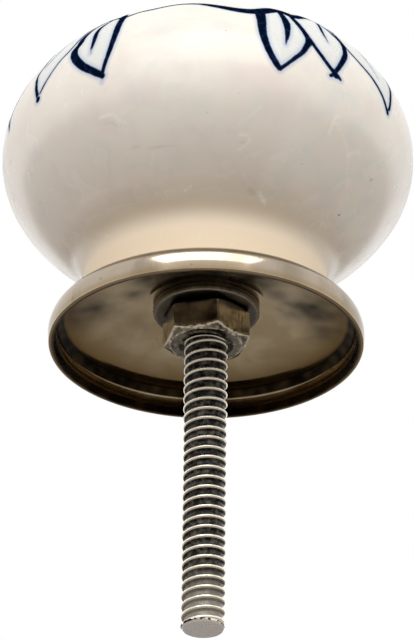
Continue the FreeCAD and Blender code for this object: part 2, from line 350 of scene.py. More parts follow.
@dataclass(frozen=True)
class GlazeFinish:
    """Glossy cream glaze over white ceramic, fired over cobalt brushwork."""

    # How far apart the glaze's clouds, mottling, wrinkles, pinholes and ripples lie, in millimetres.
    # A real pinhole is about 0.05 mm wide and would not show, so each is drawn about 0.15 mm wide.
    blotch: float = 8.0
    mottle: float = 2.6
    wrinkle: float = 7.0
    wrinkle_half: float = 0.0055
    pit_cell: float = 1.7
    ripple: float = 1.6
    # The bristle marks of a fine brush, drawn a little coarser than they are so that they show
    bristle: float = 0.5
    bleed_reach: float = 0.5
    bleed_depth: float = 0.62
    petal_tint: float = 0.5
    roughness: float = 0.24
    specular: float = 0.42
    specular_on_ink: float = 0.0
    # Heights between which the neck's painted warm glow, a painted reflection of the cup's shiny top, fades
    # out, and those where the throat's painted shade starts, is darkest and ends
    cup_glow: Point = (5.2, 10.4)
    throat: tuple[float, float, float] = (6.2, 8.5, 10.4)
    throat_depth: float = 0.62
    roughness_low: float = 0.42
    ior: float = 1.5

    def cloud(
        self, tree: bpy.types.NodeTree, place: bpy.types.NodeSocket, size: float, shift: float
    ) -> bpy.types.NodeSocket:
        """Add a noise of soft patches.

        Args:
            tree: The material's node tree.
            place: The place on the ball.
            size: The patches' size in millimetres.
            shift: How far the noise is moved, so that each cloud differs.

        Returns:
            The noise's socket.
        """
        add = partial(add_node, tree)
        moved = add("ShaderNodeVectorMath", {0: place, 1: (shift * MM, 0.0, shift * MM)}, operation="ADD")
        inputs = {"Vector": moved, "Scale": per_mm(size), "Detail": 3.0, "Distortion": 0.4}
        return add("ShaderNodeTexNoise", inputs)

    def body(self, tree: bpy.types.NodeTree, place: bpy.types.NodeSocket) -> bpy.types.NodeSocket:
        """Colour the bare glaze: cream with faint pink, green and blue clouds.

        Args:
            tree: The material's node tree.
            place: The place on the ball.

        Returns:
            The colour socket.
        """
        add = partial(add_node, tree)
        warm = add("ShaderNodeMapRange", [self.cloud(tree, place, self.blotch, 0.0), 0.35, 0.65], **EASED)
        body = add("ShaderNodeMix", {0: warm, 6: linear(Hue.GLAZE), 7: linear(Hue.GLAZE_WARM)}, **COLOURS)
        pink = add(
            "ShaderNodeMapRange",
            [self.cloud(tree, place, self.blotch * 0.6, 31.0), 0.5, 0.68, 0.0, 0.6],
            **EASED,
        )
        body = add("ShaderNodeMix", {0: pink, 6: body, 7: linear(Hue.GLAZE_PINK)}, **COLOURS)
        green = add(
            "ShaderNodeMapRange",
            [self.cloud(tree, place, self.blotch * 0.5, 67.0), 0.52, 0.7, 0.0, 0.45],
            **EASED,
        )
        body = add("ShaderNodeMix", {0: green, 6: body, 7: linear(Hue.GLAZE_GREEN)}, **COLOURS)
        blue = add(
            "ShaderNodeMapRange",
            [self.cloud(tree, place, self.blotch * 0.4, 93.0), 0.52, 0.7, 0.0, 0.4],
            **EASED,
        )
        return add("ShaderNodeMix", {0: blue, 6: body, 7: linear(Hue.GLAZE_BLUE)}, **COLOURS)

    def material(self) -> bpy.types.Material:
        """Make the fired glaze.

        Returns:
            The material. It gives the eye a glossy cream glaze with blue-black strokes that bleed a little.
        """
        material, tree = new_material("glossy_cream_glaze_with_cobalt")
        add = partial(add_node, tree)
        place = add("ShaderNodeTexCoord", out="Object")
        level = add("ShaderNodeSeparateXYZ", {0: place}, out=2)
        # Painted reflection: a warm glow on the neck for the light that the cup's shiny top throws up; the
        # same mask makes the neck's glaze rougher
        low = add(
            "ShaderNodeMapRange", [level, self.cup_glow[0] * MM, self.cup_glow[1] * MM, 1.0, 0.0], **EASED
        )
        body = add("ShaderNodeMix", {0: low, 6: self.body(tree, place), 7: linear(Hue.GLAZE_CUP_GLOW)}, **COLOURS)
        # Painted shade: a darker band round the throat, under the belly
        foot, middle, top = (height * MM for height in self.throat)
        painted_dark_band = add(
            "ShaderNodeMath",
            [
                add("ShaderNodeMapRange", [level, foot, middle], **EASED),
                add("ShaderNodeMapRange", [level, middle, top, self.throat_depth, 0.0], **EASED),
            ],
            operation="MULTIPLY",
        )
        body = add("ShaderNodeMix", {0: painted_dark_band, 6: body, 7: linear(Hue.GLAZE_THROAT_SHADE)}, **COLOURS)
        mottle = self.cloud(tree, place, self.mottle, 11.0)

        # Faint wrinkles of the glaze: thin level lines of a slow noise, of which only some show
        slow = self.cloud(tree, place, self.wrinkle, 140.0)
        off_level = add(
            "ShaderNodeMath", [add("ShaderNodeMath", [slow, 0.5], operation="SUBTRACT")], operation="ABSOLUTE"
        )
        line = add("ShaderNodeMapRange", [off_level, 0.0, self.wrinkle_half, 1.0, 0.0], **EASED)
        shown = add("ShaderNodeMapRange", [mottle, 0.5, 0.62], **EASED)
        crease = add("ShaderNodeMath", [line, shown], operation="MULTIPLY")
        body = add(
            "ShaderNodeMix",
            {
                0: add("ShaderNodeMath", [crease, 0.3], operation="MULTIPLY"),
                6: body,
                7: linear(Hue.WRINKLE_PALE),
            },
            **COLOURS,
        )
        mark = add("ShaderNodeAttribute", out="Fac", attribute_name="mark")
        body = add(
            "ShaderNodeMix",
            {
                0: add("ShaderNodeMapRange", [mark, 0.1, 1.0, 0.0, 0.8], **EASED),
                6: body,
                7: linear(Hue.WRINKLE_PALE),
            },
            **COLOURS,
        )
        # Dark marks are painted shade in the wrinkles' grooves and beside their ridges
        body = add(
            "ShaderNodeMix",
            {
                0: add("ShaderNodeMapRange", [mark, -1.0, -0.1, 0.75, 0.0], **EASED),
                6: body,
                7: linear(Hue.WRINKLE_SHADE),
            },
            **COLOURS,
        )

        # Pinholes: the middles of scattered cells
        cells = add("ShaderNodeTexVoronoi", {"Vector": place, "Scale": per_mm(self.pit_cell)}).node.outputs
        hole = add("ShaderNodeMapRange", [cells["Distance"], 0.03, 0.075, 1.0, 0.0], **EASED)
        chosen = add("ShaderNodeSeparateColor", {0: cells["Color"]})
        pit = add(
            "ShaderNodeMath",
            [hole, add("ShaderNodeMath", [chosen, 0.8], operation="GREATER_THAN")],
            operation="MULTIPLY",
        )
        body = add(
            "ShaderNodeMix",
            {0: add("ShaderNodeMath", [pit, 0.3], operation="MULTIPLY"), 6: body, 7: linear(Hue.SPECK)},
            **COLOURS,
        )

        # Painted petals: pale inside, a blue bleed round each stroke, and the stroke itself
        leaf = add("ShaderNodeAttribute", out="Fac", attribute_name="leaf")
        ink = add("ShaderNodeAttribute", out="Fac", attribute_name="ink")
        ragged = add("ShaderNodeTexNoise", {"Vector": place, "Scale": per_mm(self.bristle), "Detail": 3.0})
        edge_shift = add("ShaderNodeMath", [ragged, 0.12, -0.06], operation="MULTIPLY_ADD")
        ragged_ink = add("ShaderNodeMath", [ink, edge_shift], operation="ADD")
        body = add(
            "ShaderNodeMix",
            {
                0: add("ShaderNodeMath", [leaf, self.petal_tint], operation="MULTIPLY"),
                6: body,
                7: linear(Hue.PETAL),
            },
            **COLOURS,
        )
        body = add(
            "ShaderNodeMix",
            {
                0: add("ShaderNodeMapRange", [ink, 0.0, self.bleed_reach, self.bleed_depth, 0.0], **EASED),
                6: body,
                7: linear(Hue.BLEED),
            },
            **COLOURS,
        )
        brushed = add("ShaderNodeMapRange", [ragged, 0.5, 0.72, 0.0, 0.5], **EASED)
        depth = add(
            "ShaderNodeMath",
            [add("ShaderNodeMapRange", [ragged_ink, -0.16, 0.04], **EASED), brushed],
            operation="MAXIMUM",
        )
        paint = add("ShaderNodeMix", {0: depth, 6: linear(Hue.INK), 7: linear(Hue.INK_THIN)}, **COLOURS)
        stroke = add("ShaderNodeMapRange", [ragged_ink, -0.06, 0.07, 1.0, 0.0], **EASED)
        body = add("ShaderNodeMix", {0: stroke, 6: body, 7: paint}, **COLOURS)

        speck = add("ShaderNodeAttribute", out="Fac", attribute_name="speck")
        body = add(
            "ShaderNodeMix",
            {
                0: add("ShaderNodeMapRange", [speck, -0.08, 0.1, 0.7, 0.0], **EASED),
                6: body,
                7: linear(Hue.SPECK),
            },
            **COLOURS,
        )
        bare = add("ShaderNodeAttribute", out="Fac", attribute_name="bare")
        body = add("ShaderNodeMix", {0: bare, 6: body, 7: linear(Hue.BISCUIT)}, **COLOURS)

        gloss = add(
            "ShaderNodeMapRange", [mottle, 0.3, 0.7, self.roughness - 0.03, self.roughness + 0.04], **EASED
        )
        gloss = add("ShaderNodeMath", [low, self.roughness_low, gloss], operation="MULTIPLY_ADD")
        roughness = add(
            "ShaderNodeMath",
            [gloss, add("ShaderNodeMapRange", [bare, 0.0, 1.0, 0.0, 0.5], **EASED)],
            operation="ADD",
        )
        shine = add("ShaderNodeMapRange", [stroke, 0.0, 1.0, self.specular, self.specular_on_ink], **EASED)
        ripple = add("ShaderNodeTexNoise", {"Vector": place, "Scale": per_mm(self.ripple), "Detail": 2.0})
        height = add(
            "ShaderNodeMath",
            [ripple, 0.5, add("ShaderNodeMath", [crease, 0.3], operation="MULTIPLY")],
            operation="MULTIPLY_ADD",
        )
        height = add(
            "ShaderNodeMath",
            [height, add("ShaderNodeMath", [mark, 0.7], operation="MULTIPLY")],
            operation="ADD",
        )
        height = add(
            "ShaderNodeMath",
            [height, add("ShaderNodeMath", [pit, 0.4], operation="MULTIPLY")],
            operation="SUBTRACT",
        )
        bump = add("ShaderNodeBump", {"Height": height, "Strength": 0.3, "Distance": 0.05 * MM})
        shader = add(
            "ShaderNodeBsdfPrincipled",
            {
                "Base Color": body,
                "Roughness": roughness,
                "IOR": self.ior,
                "Specular IOR Level": shine,
                "Normal": bump,
            },
        )
        add("ShaderNodeOutputMaterial", {"Surface": shader})
        return material


@dataclass(frozen=True)
class PlatedFinish:
    """Nickel plate on drawn sheet: greyed outside, clean under the ball, tarnished inside, with painted shade
    on the inner wall and bend and painted dark reflections on the dish and at the foot of the outer wall.
    """

    # Sizes in millimetres of the smears left by wiping, the spots' grain, the scuffs and the die's rings.
    # Real scuffs and rings are under 0.05 mm wide and would not show, so they are drawn coarser.
    smear: float = 5.0
    grain: float = 0.7
    scuff: float = 0.35
    draw_line: float = 0.35
    scuff_share: float = 0.16
    # Heights above the rim between which a painted dark reflection at the foot of the outer wall fades out
    painted_dark_band: Point = (0.2, 0.95)
    dark_band_depth: float = 0.5
    roughness_outside: float = 0.12
    roughness_inside: float = 0.08
    soot_roughness: float = 0.12

    def material(self) -> bpy.types.Material:
        """Make the plating.

        Returns:
            The material. It gives the eye a warm grey mirror, finely scuffed, over an olive dish.
        """
        material, tree = new_material("nickel_plate_greyed_and_tarnished")
        add = partial(add_node, tree)
        place = add("ShaderNodeTexCoord", out="Object")
        smear = add(
            "ShaderNodeTexNoise",
            {"Vector": place, "Scale": per_mm(self.smear), "Detail": 4.0, "Distortion": 0.6},
        )
        grain = add("ShaderNodeTexNoise", {"Vector": place, "Scale": per_mm(self.grain), "Detail": 4.0})
        stretched = add("ShaderNodeMapping", {"Vector": place, "Scale": (1.0, 1.0, 0.1)})
        scuff = add("ShaderNodeTexNoise", {"Vector": stretched, "Scale": per_mm(self.scuff), "Detail": 3.0})
        inside = add("ShaderNodeAttribute", out="Fac", attribute_name="inside")
        clean = add("ShaderNodeAttribute", out="Fac", attribute_name="clean")
        painted_shade = add("ShaderNodeAttribute", out="Fac", attribute_name="painted_shade")
        dark_reflection = add("ShaderNodeAttribute", out="Fac", attribute_name="dark_reflection")

        scuffed = add(
            "ShaderNodeMath",
            [
                scuff,
                self.scuff_share,
                add("ShaderNodeMath", [smear, 1 - self.scuff_share], operation="MULTIPLY"),
            ],
            operation="MULTIPLY_ADD",
        )
        outer = add(
            "ShaderNodeMix",
            {
                0: add("ShaderNodeMapRange", [scuffed, 0.42, 0.66], **EASED),
                6: linear(Hue.NICKEL),
                7: linear(Hue.NICKEL_SMOKE),
            },
            **COLOURS,
        )
        parts = add("ShaderNodeSeparateXYZ", {0: place}).node.outputs
        # Painted reflection: the foot of the outer wall is darkened
        start, end = self.painted_dark_band
        painted_dark_band = add(
            "ShaderNodeMapRange", [parts[2], start * MM, end * MM, self.dark_band_depth, 0.0], **EASED
        )
        outer = add("ShaderNodeMix", {0: painted_dark_band, 6: outer, 7: linear(Hue.DARK_REFLECTION_TINT)}, **COLOURS)
        outer = add("ShaderNodeMix", {0: clean, 6: outer, 7: linear(Hue.NICKEL_CLEAN)}, **COLOURS)
        inner = add(
            "ShaderNodeMix",
            {
                0: add("ShaderNodeMapRange", [smear, 0.4, 0.66], **EASED),
                6: linear(Hue.TARNISH),
                7: linear(Hue.TARNISH_PALE),
            },
            **COLOURS,
        )
        # Painted reflection: the dish darkens towards its wall
        inner = add("ShaderNodeMix", {0: dark_reflection, 6: inner, 7: linear(Hue.DARK_REFLECTION_TINT)}, **COLOURS)
        colour = add("ShaderNodeMix", {0: inside, 6: outer, 7: inner}, **COLOURS)
        spots = add("ShaderNodeMapRange", [grain, 0.68, 0.76, 0.0, 0.3], **EASED)
        colour = add("ShaderNodeMix", {0: spots, 6: colour, 7: linear(Hue.STEEL_DARK)}, **COLOURS)
        # Painted shade on the inner wall and bend, and painted dark reflections on the dish floor
        shaded = add(
            "ShaderNodeMath",
            [painted_shade, add("ShaderNodeMapRange", [smear, 0.3, 0.7, 1.0, 0.95], **EASED)],
            operation="MULTIPLY",
        )
        colour = add("ShaderNodeMix", {0: shaded, 6: colour, 7: linear(Hue.SHADE_BLACK)}, **COLOURS)
        polish = add(
            "ShaderNodeMapRange", [inside, 0.0, 1.0, self.roughness_outside, self.roughness_inside], **EASED
        )
        roughness = add(
            "ShaderNodeMath",
            [add("ShaderNodeMapRange", [scuffed, 0.35, 0.65], **EASED), 0.06, polish],
            operation="MULTIPLY_ADD",
        )
        roughness = add("ShaderNodeMath", [shaded, self.soot_roughness, roughness], operation="MULTIPLY_ADD")

        # Fine rings that the drawing die leaves
        flat = add("ShaderNodeCombineXYZ", {0: parts[0], 1: parts[1]})
        radius = add("ShaderNodeVectorMath", {0: flat}, out="Value", operation="LENGTH")
        ring = add(
            "ShaderNodeTexNoise",
            {"W": radius, "Scale": per_mm(self.draw_line), "Detail": 3.0},
            noise_dimensions="1D",
        )
        height = add(
            "ShaderNodeMath",
            [scuff, 0.2, add("ShaderNodeMath", [ring, 0.4], operation="MULTIPLY")],
            operation="MULTIPLY_ADD",
        )
        height = add("ShaderNodeMath", [grain, 0.3, height], operation="MULTIPLY_ADD")
        bump = add("ShaderNodeBump", {"Height": height, "Strength": 0.07, "Distance": 0.02 * MM})
        shader = add(
            "ShaderNodeBsdfPrincipled",
            {"Base Color": colour, "Metallic": 1.0, "Roughness": roughness, "Normal": bump},
        )
        add("ShaderNodeOutputMaterial", {"Surface": shader})
        return material


@dataclass(frozen=True)
class CutSteelFinish:
    """Dull plated steel of the nut and washer, bright where it is burred or scraped and where highlights are
    painted on its edges, and near black where shade is painted.
    """

    name: str
    base: Hue = Hue.STEEL
    # Sizes in millimetres: the oil's smears, and scratches drawn about twice as wide as real ones
    smear: float = 1.6
    scratch: float = 0.16
    roughness: float = 0.3
    bump: float = 0.3

    def material(self) -> bpy.types.Material:
        """Make the steel.

        Returns:
            The material. It gives the eye dark olive faces, pale raw edges partly painted as highlights, and
            black corners of painted shade.
        """
        material, tree = new_material(self.name)
        add = partial(add_node, tree)
        place = add("ShaderNodeTexCoord", out="Object")
        rubbed_and_highlit = add("ShaderNodeAttribute", out="Fac", attribute_name="rubbed_and_highlit")
        painted_shade = add("ShaderNodeAttribute", out="Fac", attribute_name="painted_shade")
        smear = add("ShaderNodeTexNoise", {"Vector": place, "Scale": per_mm(self.smear), "Detail": 5.0})
        stretched = add("ShaderNodeMapping", {"Vector": place, "Scale": (1.0, 1.0, 0.12)})
        streak = add(
            "ShaderNodeTexNoise", {"Vector": stretched, "Scale": per_mm(self.scratch), "Detail": 3.0}
        )
        colour = add(
            "ShaderNodeMix",
            {
                0: add("ShaderNodeMapRange", [smear, 0.42, 0.72, 0.0, 0.8], **EASED),
                6: linear(self.base),
                7: linear(Hue.STEEL_DARK),
            },
            **COLOURS,
        )
        colour = add(
            "ShaderNodeMix",
            {
                0: add("ShaderNodeMapRange", [streak, 0.5, 0.72, 0.0, 0.5], **EASED),
                6: colour,
                7: linear(Hue.STEEL_DARK),
            },
            **COLOURS,
        )
        # Painted shade: near black where the mesh marks it
        colour = add("ShaderNodeMix", {0: painted_shade, 6: colour, 7: linear(Hue.SHADE_BLACK)}, **COLOURS)
        # Pale edges: scraped bare metal together with painted highlights
        rubbed_and_lit = add(
            "ShaderNodeMath",
            [rubbed_and_highlit, add("ShaderNodeMapRange", [streak, 0.35, 0.6, 0.7, 1.0], **EASED)],
            operation="MULTIPLY",
        )
        colour = add("ShaderNodeMix", {0: rubbed_and_lit, 6: colour, 7: linear(Hue.BURR_HIGHLIGHT)}, **COLOURS)
        roughness = add(
            "ShaderNodeMapRange", [smear, 0.3, 0.7, self.roughness, self.roughness + 0.14], **EASED
        )
        height = add("ShaderNodeMath", [smear, 0.4, streak], operation="MULTIPLY_ADD")
        bump = add("ShaderNodeBump", {"Height": height, "Strength": self.bump, "Distance": 0.03 * MM})
        shader = add(
            "ShaderNodeBsdfPrincipled",
            {"Base Color": colour, "Metallic": 1.0, "Roughness": roughness, "Normal": bump},
        )
        add("ShaderNodeOutputMaterial", {"Surface": shader})
        return material


@dataclass(frozen=True)
class ThreadFinish:
    """Rolled steel thread: bright crests, and flanks and roots painted near black as shade."""

    shade_fade_reach: float = 6.5
    shade_at_end: float = 0.72
    groove_shine: float = 0.12
    smear: float = 0.5
    roughness: float = 0.24

    def material(self, end: float) -> bpy.types.Material:
        """Make the thread's steel.

        Args:
            end: The height of the stud's end, near which the troughs' painted shade fades.

        Returns:
            The material. It gives the eye pale crest lines over troughs of near-black painted shade.
        """
        material, tree = new_material("rolled_steel_shaded_in_the_thread")
        add = partial(add_node, tree)
        place = add("ShaderNodeTexCoord", out="Object")
        groove = add("ShaderNodeAttribute", out="Fac", attribute_name="groove")
        level = add("ShaderNodeSeparateXYZ", {0: place}, out=2)
        # Painted shade: flanks and roots are painted near black and made non-metal, fading towards the stud's
        # end
        shade_fade = add(
            "ShaderNodeMapRange",
            [level, (end + 0.7) * MM, (end + self.shade_fade_reach) * MM, self.shade_at_end, 1.0],
            **EASED,
        )
        smear = add("ShaderNodeTexNoise", {"Vector": place, "Scale": per_mm(self.smear), "Detail": 3.0})
        darkened = add(
            "ShaderNodeMath",
            [add("ShaderNodeMapRange", [groove, 0.18, 0.46], **EASED), shade_fade],
            operation="MULTIPLY",
        )
        darkened = add(
            "ShaderNodeMath",
            [darkened, add("ShaderNodeMapRange", [smear, 0.4, 0.8, 1.0, 0.85], **EASED)],
            operation="MULTIPLY",
        )
        at_end = add("ShaderNodeMapRange", [level, (end + 0.05) * MM, (end + 0.3) * MM, 1.0, 0.0], **EASED)
        metal = add(
            "ShaderNodeMix",
            {
                0: add("ShaderNodeMapRange", [smear, 0.45, 0.75, 0.0, 0.6], **EASED),
                6: linear(Hue.THREAD),
                7: linear(Hue.STEEL),
            },
            **COLOURS,
        )
        metal = add("ShaderNodeMix", {0: at_end, 6: metal, 7: linear(Hue.CUT_END)}, **COLOURS)
        # The cropped end left a broken black line just above the chamfer
        above = add("ShaderNodeMapRange", [level, (end + 0.06) * MM, (end + 0.16) * MM], **EASED)
        below = add("ShaderNodeMapRange", [level, (end + 0.24) * MM, (end + 0.38) * MM, 1.0, 0.0], **EASED)
        torn = add(
            "ShaderNodeMath",
            [
                add("ShaderNodeMath", [above, below], operation="MULTIPLY"),
                add("ShaderNodeMapRange", [smear, 0.49, 0.55], **EASED),
            ],
            operation="MULTIPLY",
        )
        darkened = add("ShaderNodeMath", [darkened, torn], operation="MAXIMUM")
        colour = add("ShaderNodeMix", {0: darkened, 6: metal, 7: linear(Hue.SHADE_BLACK)}, **COLOURS)
        bare_metal = add("ShaderNodeMath", [1.0, darkened], operation="SUBTRACT")
        roughness = add(
            "ShaderNodeMapRange", [smear, 0.3, 0.7, self.roughness, self.roughness + 0.12], **EASED
        )
        bump = add("ShaderNodeBump", {"Height": smear, "Strength": 0.2, "Distance": 0.03 * MM})
        shader = add(
            "ShaderNodeBsdfPrincipled",
            {
                "Base Color": colour,
                "Metallic": bare_metal,
                "Roughness": roughness,
                "Specular IOR Level": self.groove_shine,
                "Normal": bump,
            },
        )
        add("ShaderNodeOutputMaterial", {"Surface": shader})
        return material


@dataclass(frozen=True)
class Stroke:
    """One pull of the brush: knots as (azimuth in degrees, way down from the crown in mm)."""

    knots: tuple[Point, ...]
    widths: tuple[float, ...]


@dataclass(frozen=True)
class GlazeMark:
    """A wrinkle in the glaze: its knots, its width, and its tone from 1 for palest to -1 for darkest; a dark
    tone is painted shade in a groove or beside a ridge.
    """

    knots: tuple[Point, ...]
    width: float
    tone: float


@dataclass(frozen=True)
class Petal:
    """One painted petal: two edges that meet at the tip, and a vein that stops short of it."""

    left: Stroke
    right: Stroke
    vein: Stroke
    tip: Point
    blot: float
    touches: tuple[Stroke, ...] = ()

    def strokes(self) -> tuple[Stroke, ...]:
        """The petal's brush strokes."""
        return (self.left, self.right, self.vein, *self.touches)


@dataclass
class Brushwork:
    """The painted ring with its sprays of three petals.

    An azimuth of 0 is the near side, and it grows to the right.
    """

    zone: Point = (14.2, 28.0)
    far_sprays: Point = (128.0, 217.0)
    ring: Stroke = Stroke(
        (
            *((-29.0, 17.7), (-24.6, 16.9), (-19.2, 16.8), (-10.9, 16.1), (-3.7, 16.6), (-1.3, 17.0)),
            *((3.6, 17.8), (9.0, 18.4), (14.8, 18.2), (22.2, 16.6), (25.7, 16.9), (28.3, 17.4)),
            *((36.0, 16.0), (50.0, 15.6)),
            *((66.0, 15.9), (84.0, 15.5), (100.0, 15.9), (120.0, 15.4), (140.0, 15.8), (160.0, 15.5)),
            *((180.0, 15.9), (200.0, 15.5), (220.0, 15.8), (240.0, 15.4), (260.0, 15.9), (280.0, 15.6)),
            *((296.0, 15.9), (312.0, 16.2), (324.0, 16.7), (331.0, 17.7)),
        ),
        (
            *(0.5, 0.5, 0.5, 0.52, 0.62, 0.8, 1.0, 1.25, 1.4, 1.4, 1.3, 1.1, 0.7, 0.55),
            *(0.5, 0.55, 0.5, 0.6, 0.5, 0.55, 0.6, 0.5, 0.55, 0.5, 0.55, 0.5, 0.5, 0.55, 0.5, 0.45),
        ),
    )
    near_petals: tuple[Petal, ...] = (
        Petal(
            left=Stroke(
                ((-38.0, 16.2), (-41.0, 18.0), (-41.6, 19.7), (-41.4, 20.8), (-42.1, 21.8), (-40.4, 23.1))
                + ((-36.9, 24.5), (-33.2, 25.5), (-30.4, 26.2)),
                (0.55, 0.65, 0.75, 0.8, 0.88, 0.88, 0.82, 0.74, 0.64),
            ),
            right=Stroke(
                ((-31.0, 16.4), (-29.6, 18.0), (-28.2, 21.1), (-28.4, 23.4), (-29.4, 25.0), (-30.1, 26.1)),
                (0.7, 0.8, 0.72, 0.56, 0.44, 0.36),
            ),
            vein=Stroke(((-35.0, 16.8), (-36.8, 18.9), (-35.4, 21.4), (-35.0, 23.3)), (0.5, 0.56, 0.52, 0.1)),
            tip=(-30.1, 26.3),
            blot=0.3,
            touches=(Stroke(((-30.1, 26.3), (-30.3, 26.9)), (0.28, 0.04)),),
        ),
        Petal(
            left=Stroke(
                ((-54.5, 16.0), (-56.5, 18.4), (-57.2, 20.9), (-58.3, 22.0), (-56.8, 23.5), (-54.9, 25.1)),
                (0.36, 0.36, 0.36, 0.4, 0.46, 0.46),
            ),
            right=Stroke(
                ((-43.8, 16.2), (-43.6, 18.6), (-44.4, 20.8), (-47.5, 22.2), (-50.1, 23.5), (-53.6, 25.0)),
                (0.36, 0.32, 0.28, 0.24, 0.24, 0.28),
            ),
            vein=Stroke(((-49.5, 16.8), (-51.9, 19.5), (-53.8, 20.8), (-55.8, 21.5)), (0.26, 0.2, 0.18, 0.1)),
            tip=(-54.4, 25.6),
            blot=0.34,
        ),
        Petal(
            left=Stroke(((-80.0, 15.9), (-80.5, 19.0), (-78.5, 22.3), (-73.9, 25.3)), (0.5, 0.5, 0.45, 0.3)),
            right=Stroke(
                ((-62.0, 16.3), (-64.0, 18.5), (-66.2, 20.7), (-69.7, 22.5), (-73.3, 23.5), (-73.6, 25.2)),
                (0.45, 0.4, 0.36, 0.34, 0.34, 0.26),
            ),
            vein=Stroke(((-70.5, 16.8), (-72.5, 19.4), (-74.3, 21.6)), (0.3, 0.3, 0.08)),
            tip=(-73.7, 25.4),
            blot=0.2,
        ),
        Petal(
            left=Stroke(
                ((15.6, 18.3), (15.4, 19.6), (15.0, 22.3), (16.1, 24.2), (17.9, 25.5), (19.4, 26.2)),
                (1.1, 1.0, 0.8, 0.7, 0.66, 0.58),
            ),
            right=Stroke(
                ((27.0, 18.3), (28.6, 20.8), (29.1, 22.0), (26.6, 23.7), (23.3, 25.0), (20.1, 26.1)),
                (0.6, 0.62, 0.7, 0.5, 0.4, 0.36),
            ),
            vein=Stroke(
                ((23.4, 17.4), (23.4, 19.7), (22.6, 21.6), (21.3, 23.5)),
                (0.6, 0.8, 0.56, 0.08),
            ),
            tip=(19.4, 26.25),
            blot=0.27,
        ),
        Petal(
            left=Stroke(
                ((26.8, 17.8), (29.1, 21.1), (31.2, 22.8), (34.0, 24.2), (36.8, 25.2)),
                (0.55, 0.52, 0.5, 0.5, 0.52),
            ),
            right=Stroke(
                ((40.8, 16.3), (42.2, 18.4), (43.5, 20.0), (42.3, 21.8), (39.6, 23.4), (36.9, 24.8)),
                (0.45, 0.5, 0.6, 0.62, 0.56, 0.46),
            ),
            vein=Stroke(((39.9, 16.1), (36.8, 19.1), (36.5, 21.1)), (0.4, 0.36, 0.1)),
            tip=(36.8, 25.25),
            blot=0.36,
            touches=(Stroke(((35.1, 25.5), (36.8, 25.1), (38.4, 25.5)), (0.34, 0.56, 0.36)),),
        ),
        Petal(
            left=Stroke(
                ((44.5, 16.3), (43.9, 18.6), (44.7, 20.5), (48.0, 21.9))
                + ((52.2, 23.0), (56.1, 24.4), (58.6, 25.8)),
                (0.38, 0.36, 0.34, 0.34, 0.38, 0.42, 0.46),
            ),
            right=Stroke(
                ((61.5, 16.6), (64.6, 18.9), (65.2, 20.6), (64.6, 21.8), (61.8, 23.6), (59.6, 25.4)),
                (0.44, 0.44, 0.42, 0.4, 0.38, 0.36),
            ),
            vein=Stroke(((52.5, 16.6), (54.3, 18.0), (54.6, 20.1), (56.4, 22.3)), (0.26, 0.24, 0.22, 0.08)),
            tip=(58.8, 25.9),
            blot=0.24,
        ),
    )
    marks: tuple[GlazeMark, ...] = (
        GlazeMark(((-32.5, 30.2), (-29.7, 30.1), (-27.4, 30.5), (-26.8, 31.0)), 0.45, 0.9),
        GlazeMark(((-31.5, 30.7), (-29.4, 30.7), (-28.2, 31.2)), 0.45, -0.5),
        GlazeMark(((-54.8, 34.3), (-52.5, 34.9), (-51.0, 35.6)), 0.38, 0.7),
        GlazeMark(((10.7, 34.2), (12.2, 33.8), (13.5, 33.3), (12.5, 32.9), (10.2, 32.8)), 0.38, 0.9),
        GlazeMark(((11.0, 33.7), (12.4, 33.4)), 0.45, -0.6),
        GlazeMark(((15.5, 30.0), (12.8, 31.0), (9.5, 31.9)), 0.52, 0.5),
        GlazeMark(((-9.3, 38.4), (-7.5, 38.1), (-6.2, 38.0)), 0.38, 0.7),
        GlazeMark(((22.5, 38.0), (24.4, 38.4), (26.6, 38.8)), 0.45, 0.8),
        GlazeMark(((18.6, 38.0), (20.4, 38.2)), 0.75, -0.7),
        GlazeMark(((-25.8, 33.4), (-18.8, 33.8), (-9.8, 34.0)), 0.33, -0.5),
        GlazeMark(((-22.0, 32.9), (-14.0, 33.1)), 0.45, 0.3),
        GlazeMark(((38.3, 30.9), (38.2, 29.9), (38.8, 29.2), (40.0, 29.0)), 0.42, 0.8),
        GlazeMark(((39.4, 29.7), (44.3, 30.8), (48.3, 31.8), (51.9, 33.2), (59.7, 35.0)), 0.42, 0.6),
        GlazeMark(((48.3, 31.8), (49.8, 31.3), (52.2, 31.1)), 0.38, 0.8),
        GlazeMark(((43.2, 37.6), (44.8, 37.0), (46.4, 36.2)), 0.42, 0.6),
        GlazeMark(((51.2, 35.1), (51.6, 34.5), (52.8, 33.9)), 0.38, 0.6),
        GlazeMark(((-84.1, 30.3), (-88.3, 30.4)), 0.38, -0.8),
        GlazeMark(((-77.0, 28.3), (-75.0, 28.5)), 0.60, -0.5),
        GlazeMark(((-42.0, 36.2), (-37.0, 35.6), (-33.0, 33.0)), 0.60, -0.3),
        GlazeMark(((4.0, 32.0), (-2.0, 31.6), (-6.0, 32.2)), 0.60, 0.35),
    )
    specks: tuple[tuple[float, float, float], ...] = (
        (8.7, 29.2, 0.1),
        (62.8, 32.3, 0.17),
        (62.6, 36.6, 0.14),
        (52.0, 34.4, 0.08),
        (-64.0, 30.0, 0.07),
        (34.0, 33.4, 0.07),
        (150.0, 31.0, 0.1),
        (-150.0, 34.0, 0.12),
    )

